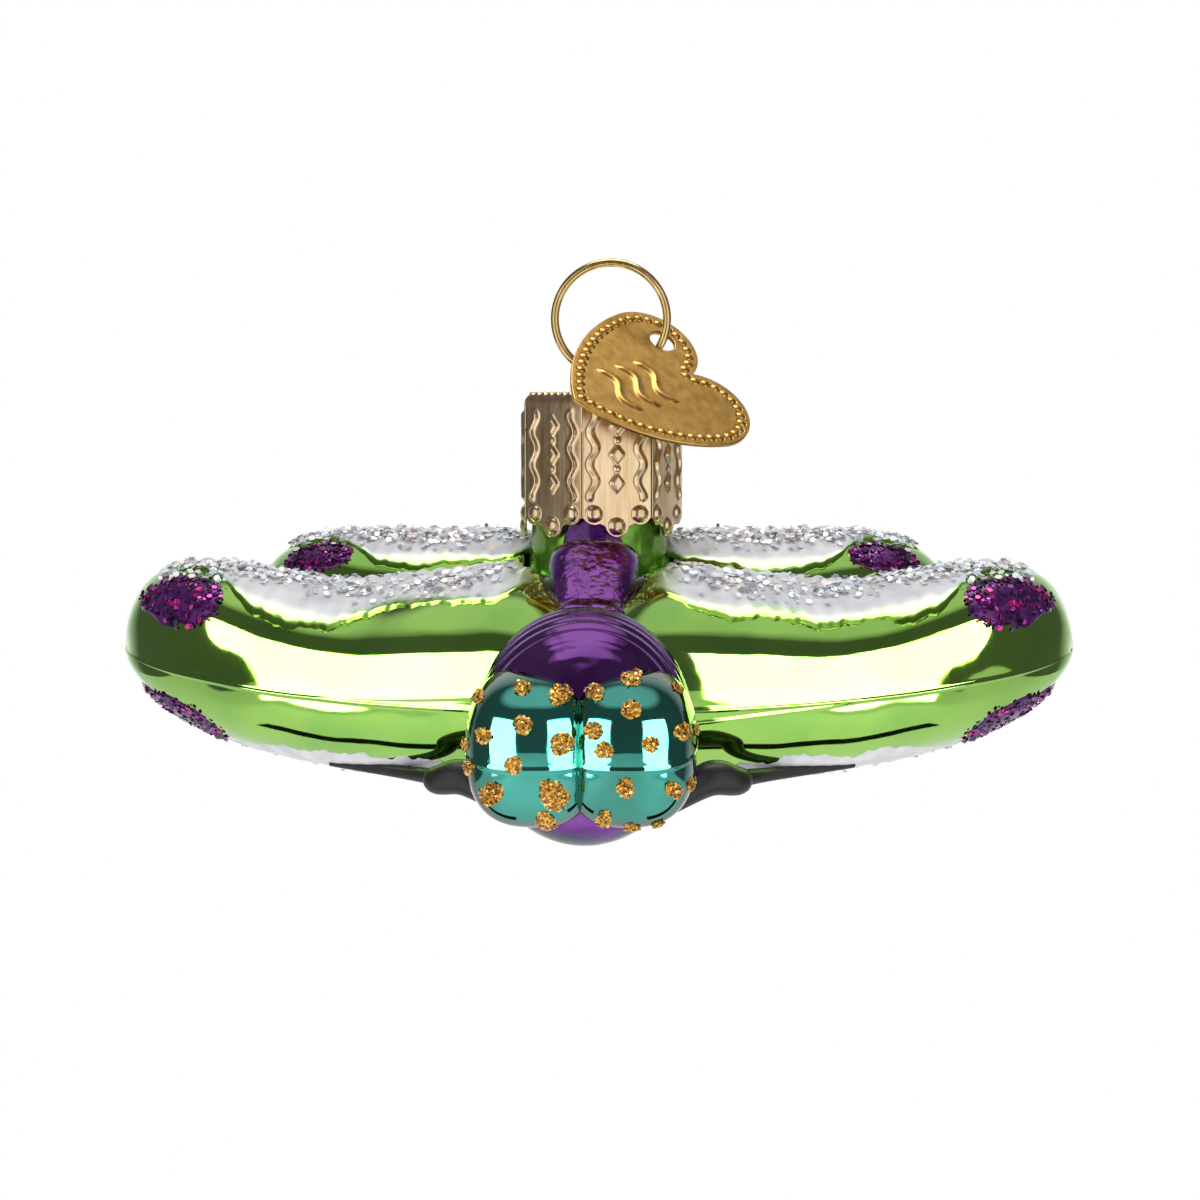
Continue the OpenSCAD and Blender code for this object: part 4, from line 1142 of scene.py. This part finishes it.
fill = add(tree, "ShaderNodeMix", {"Factor": shine.outputs[0], "A": 0.42, "B": room.outputs[0]})
level = add(tree, "ShaderNodeMix", {"Factor": ray.outputs["Is Camera Ray"],
                                    "A": fill.outputs["Result"], "B": 1.0})
back = add(tree, "ShaderNodeBackground", {"Color": (1, 1, 1, 1), "Strength": level.outputs["Result"]})
add(tree, "ShaderNodeOutputWorld", {"Surface": back.outputs["Background"]})
print("floor height in metres:", round(floor_z, 3))


# %% Soft boxes and cards
BOX_AWAY, BOX_W, BOX_H = 0.7, 0.68, 0.84
BOX_AIM = (0.0, -0.015, -0.045)
MIRROR_WATTS, FEATHERED_WATTS, OVERHEAD_WATTS = 13.0, 2.0, 2.4
CARD_Z = -75
CARD_CORNERS = ((10, -37), (58, -21), (58, -15), (10, -31))


def stand(holder, azimuth, elevation, distance, aim):
    """Stands a lamp or the camera off from a point, facing it: azimuth 0 in front, growing rightwards."""
    a, e = np.radians([azimuth, elevation])
    towards = np.array([np.sin(a) * np.cos(e), -np.cos(a) * np.cos(e), np.sin(e)])
    holder.location = np.array(aim) + towards * distance
    holder.rotation_euler = Vector(towards).to_track_quat("Z", "Y").to_euler()
    bpy.context.scene.collection.objects.link(holder)


def soft_box(name, azimuth, elevation, width, height, power):
    """A rectangular lamp, aimed at the ornament and hidden from the camera."""
    lamp = bpy.data.lights.new(name, "AREA")
    lamp.shape = "RECTANGLE"
    lamp.size = width
    lamp.size_y = height
    lamp.energy = power
    holder = bpy.data.objects.new(name, lamp)
    holder.visible_camera = False
    stand(holder, azimuth, elevation, BOX_AWAY, BOX_AIM)
    return holder


mirrors = bpy.data.collections.new("lacquered mirror glass")
plain = bpy.data.collections.new("brass, enamel and glitter")
for piece in bpy.context.scene.objects:
    if piece.type == "MESH":
        shiny = piece.active_material in (green_lacquer, purple_lacquer, crackled_purple, teal_lacquer)
        (mirrors if shiny else plain).objects.link(piece)
for name, azimuth in (("left soft box", -40), ("right soft box", 40)):
    strong = soft_box(name, azimuth, 2, BOX_W, BOX_H, MIRROR_WATTS)
    strong.visible_diffuse = False
    strong.light_linking.receiver_collection = mirrors
    weak = soft_box(name + ", feathered", azimuth, 2, BOX_W, BOX_H, FEATHERED_WATTS)
    weak.light_linking.receiver_collection = plain
overhead = soft_box("overhead soft box", 180, 84, 0.55, 0.4, OVERHEAD_WATTS)
overhead.light_linking.receiver_collection = plain

for name, side in (("left black card", 1), ("right black card", -1)):
    mesh = bpy.data.meshes.new(name)
    corners = [(side * x * MM, y * MM, CARD_Z * MM) for x, y in CARD_CORNERS]
    mesh.from_pydata(corners, [], [(0, 1, 2, 3)])
    card = bpy.data.objects.new(name, mesh)
    bpy.context.scene.collection.objects.link(card)
    black, tree, shader = new_finish(name)
    set_inputs(shader, {"Base Color": linear("#101010"), "Roughness": 0.9})
    card.data.materials.append(black)
    card.visible_camera = False
    card.visible_diffuse = False
    card.visible_shadow = False

# %% [markdown]
# ## Camera
# The photograph was taken nearly level and a little from the right, from several times the ornament's
# width away. The lens follows from that distance and from how many of the picture's pixels one metre
# takes up at the ornament.

# %% Camera
PICTURE = 1200
AZIMUTH, ELEVATION, DISTANCE = 2.7, 1.9, 0.6
TARGET = np.array([0.00004, 0.0, -0.03518])
PIXELS_PER_METRE = 9420.0
camera = bpy.data.cameras.new("camera")
camera.sensor_width = 36.0
camera.lens = camera.sensor_width * PIXELS_PER_METRE * DISTANCE / PICTURE
camera.clip_start = 0.01
holder = bpy.data.objects.new("camera", camera)
stand(holder, AZIMUTH, ELEVATION, DISTANCE, TARGET)
bpy.context.scene.camera = holder
bpy.context.scene.view_settings.view_transform = "Standard"
print("lens in millimetres:", round(camera.lens, 1))
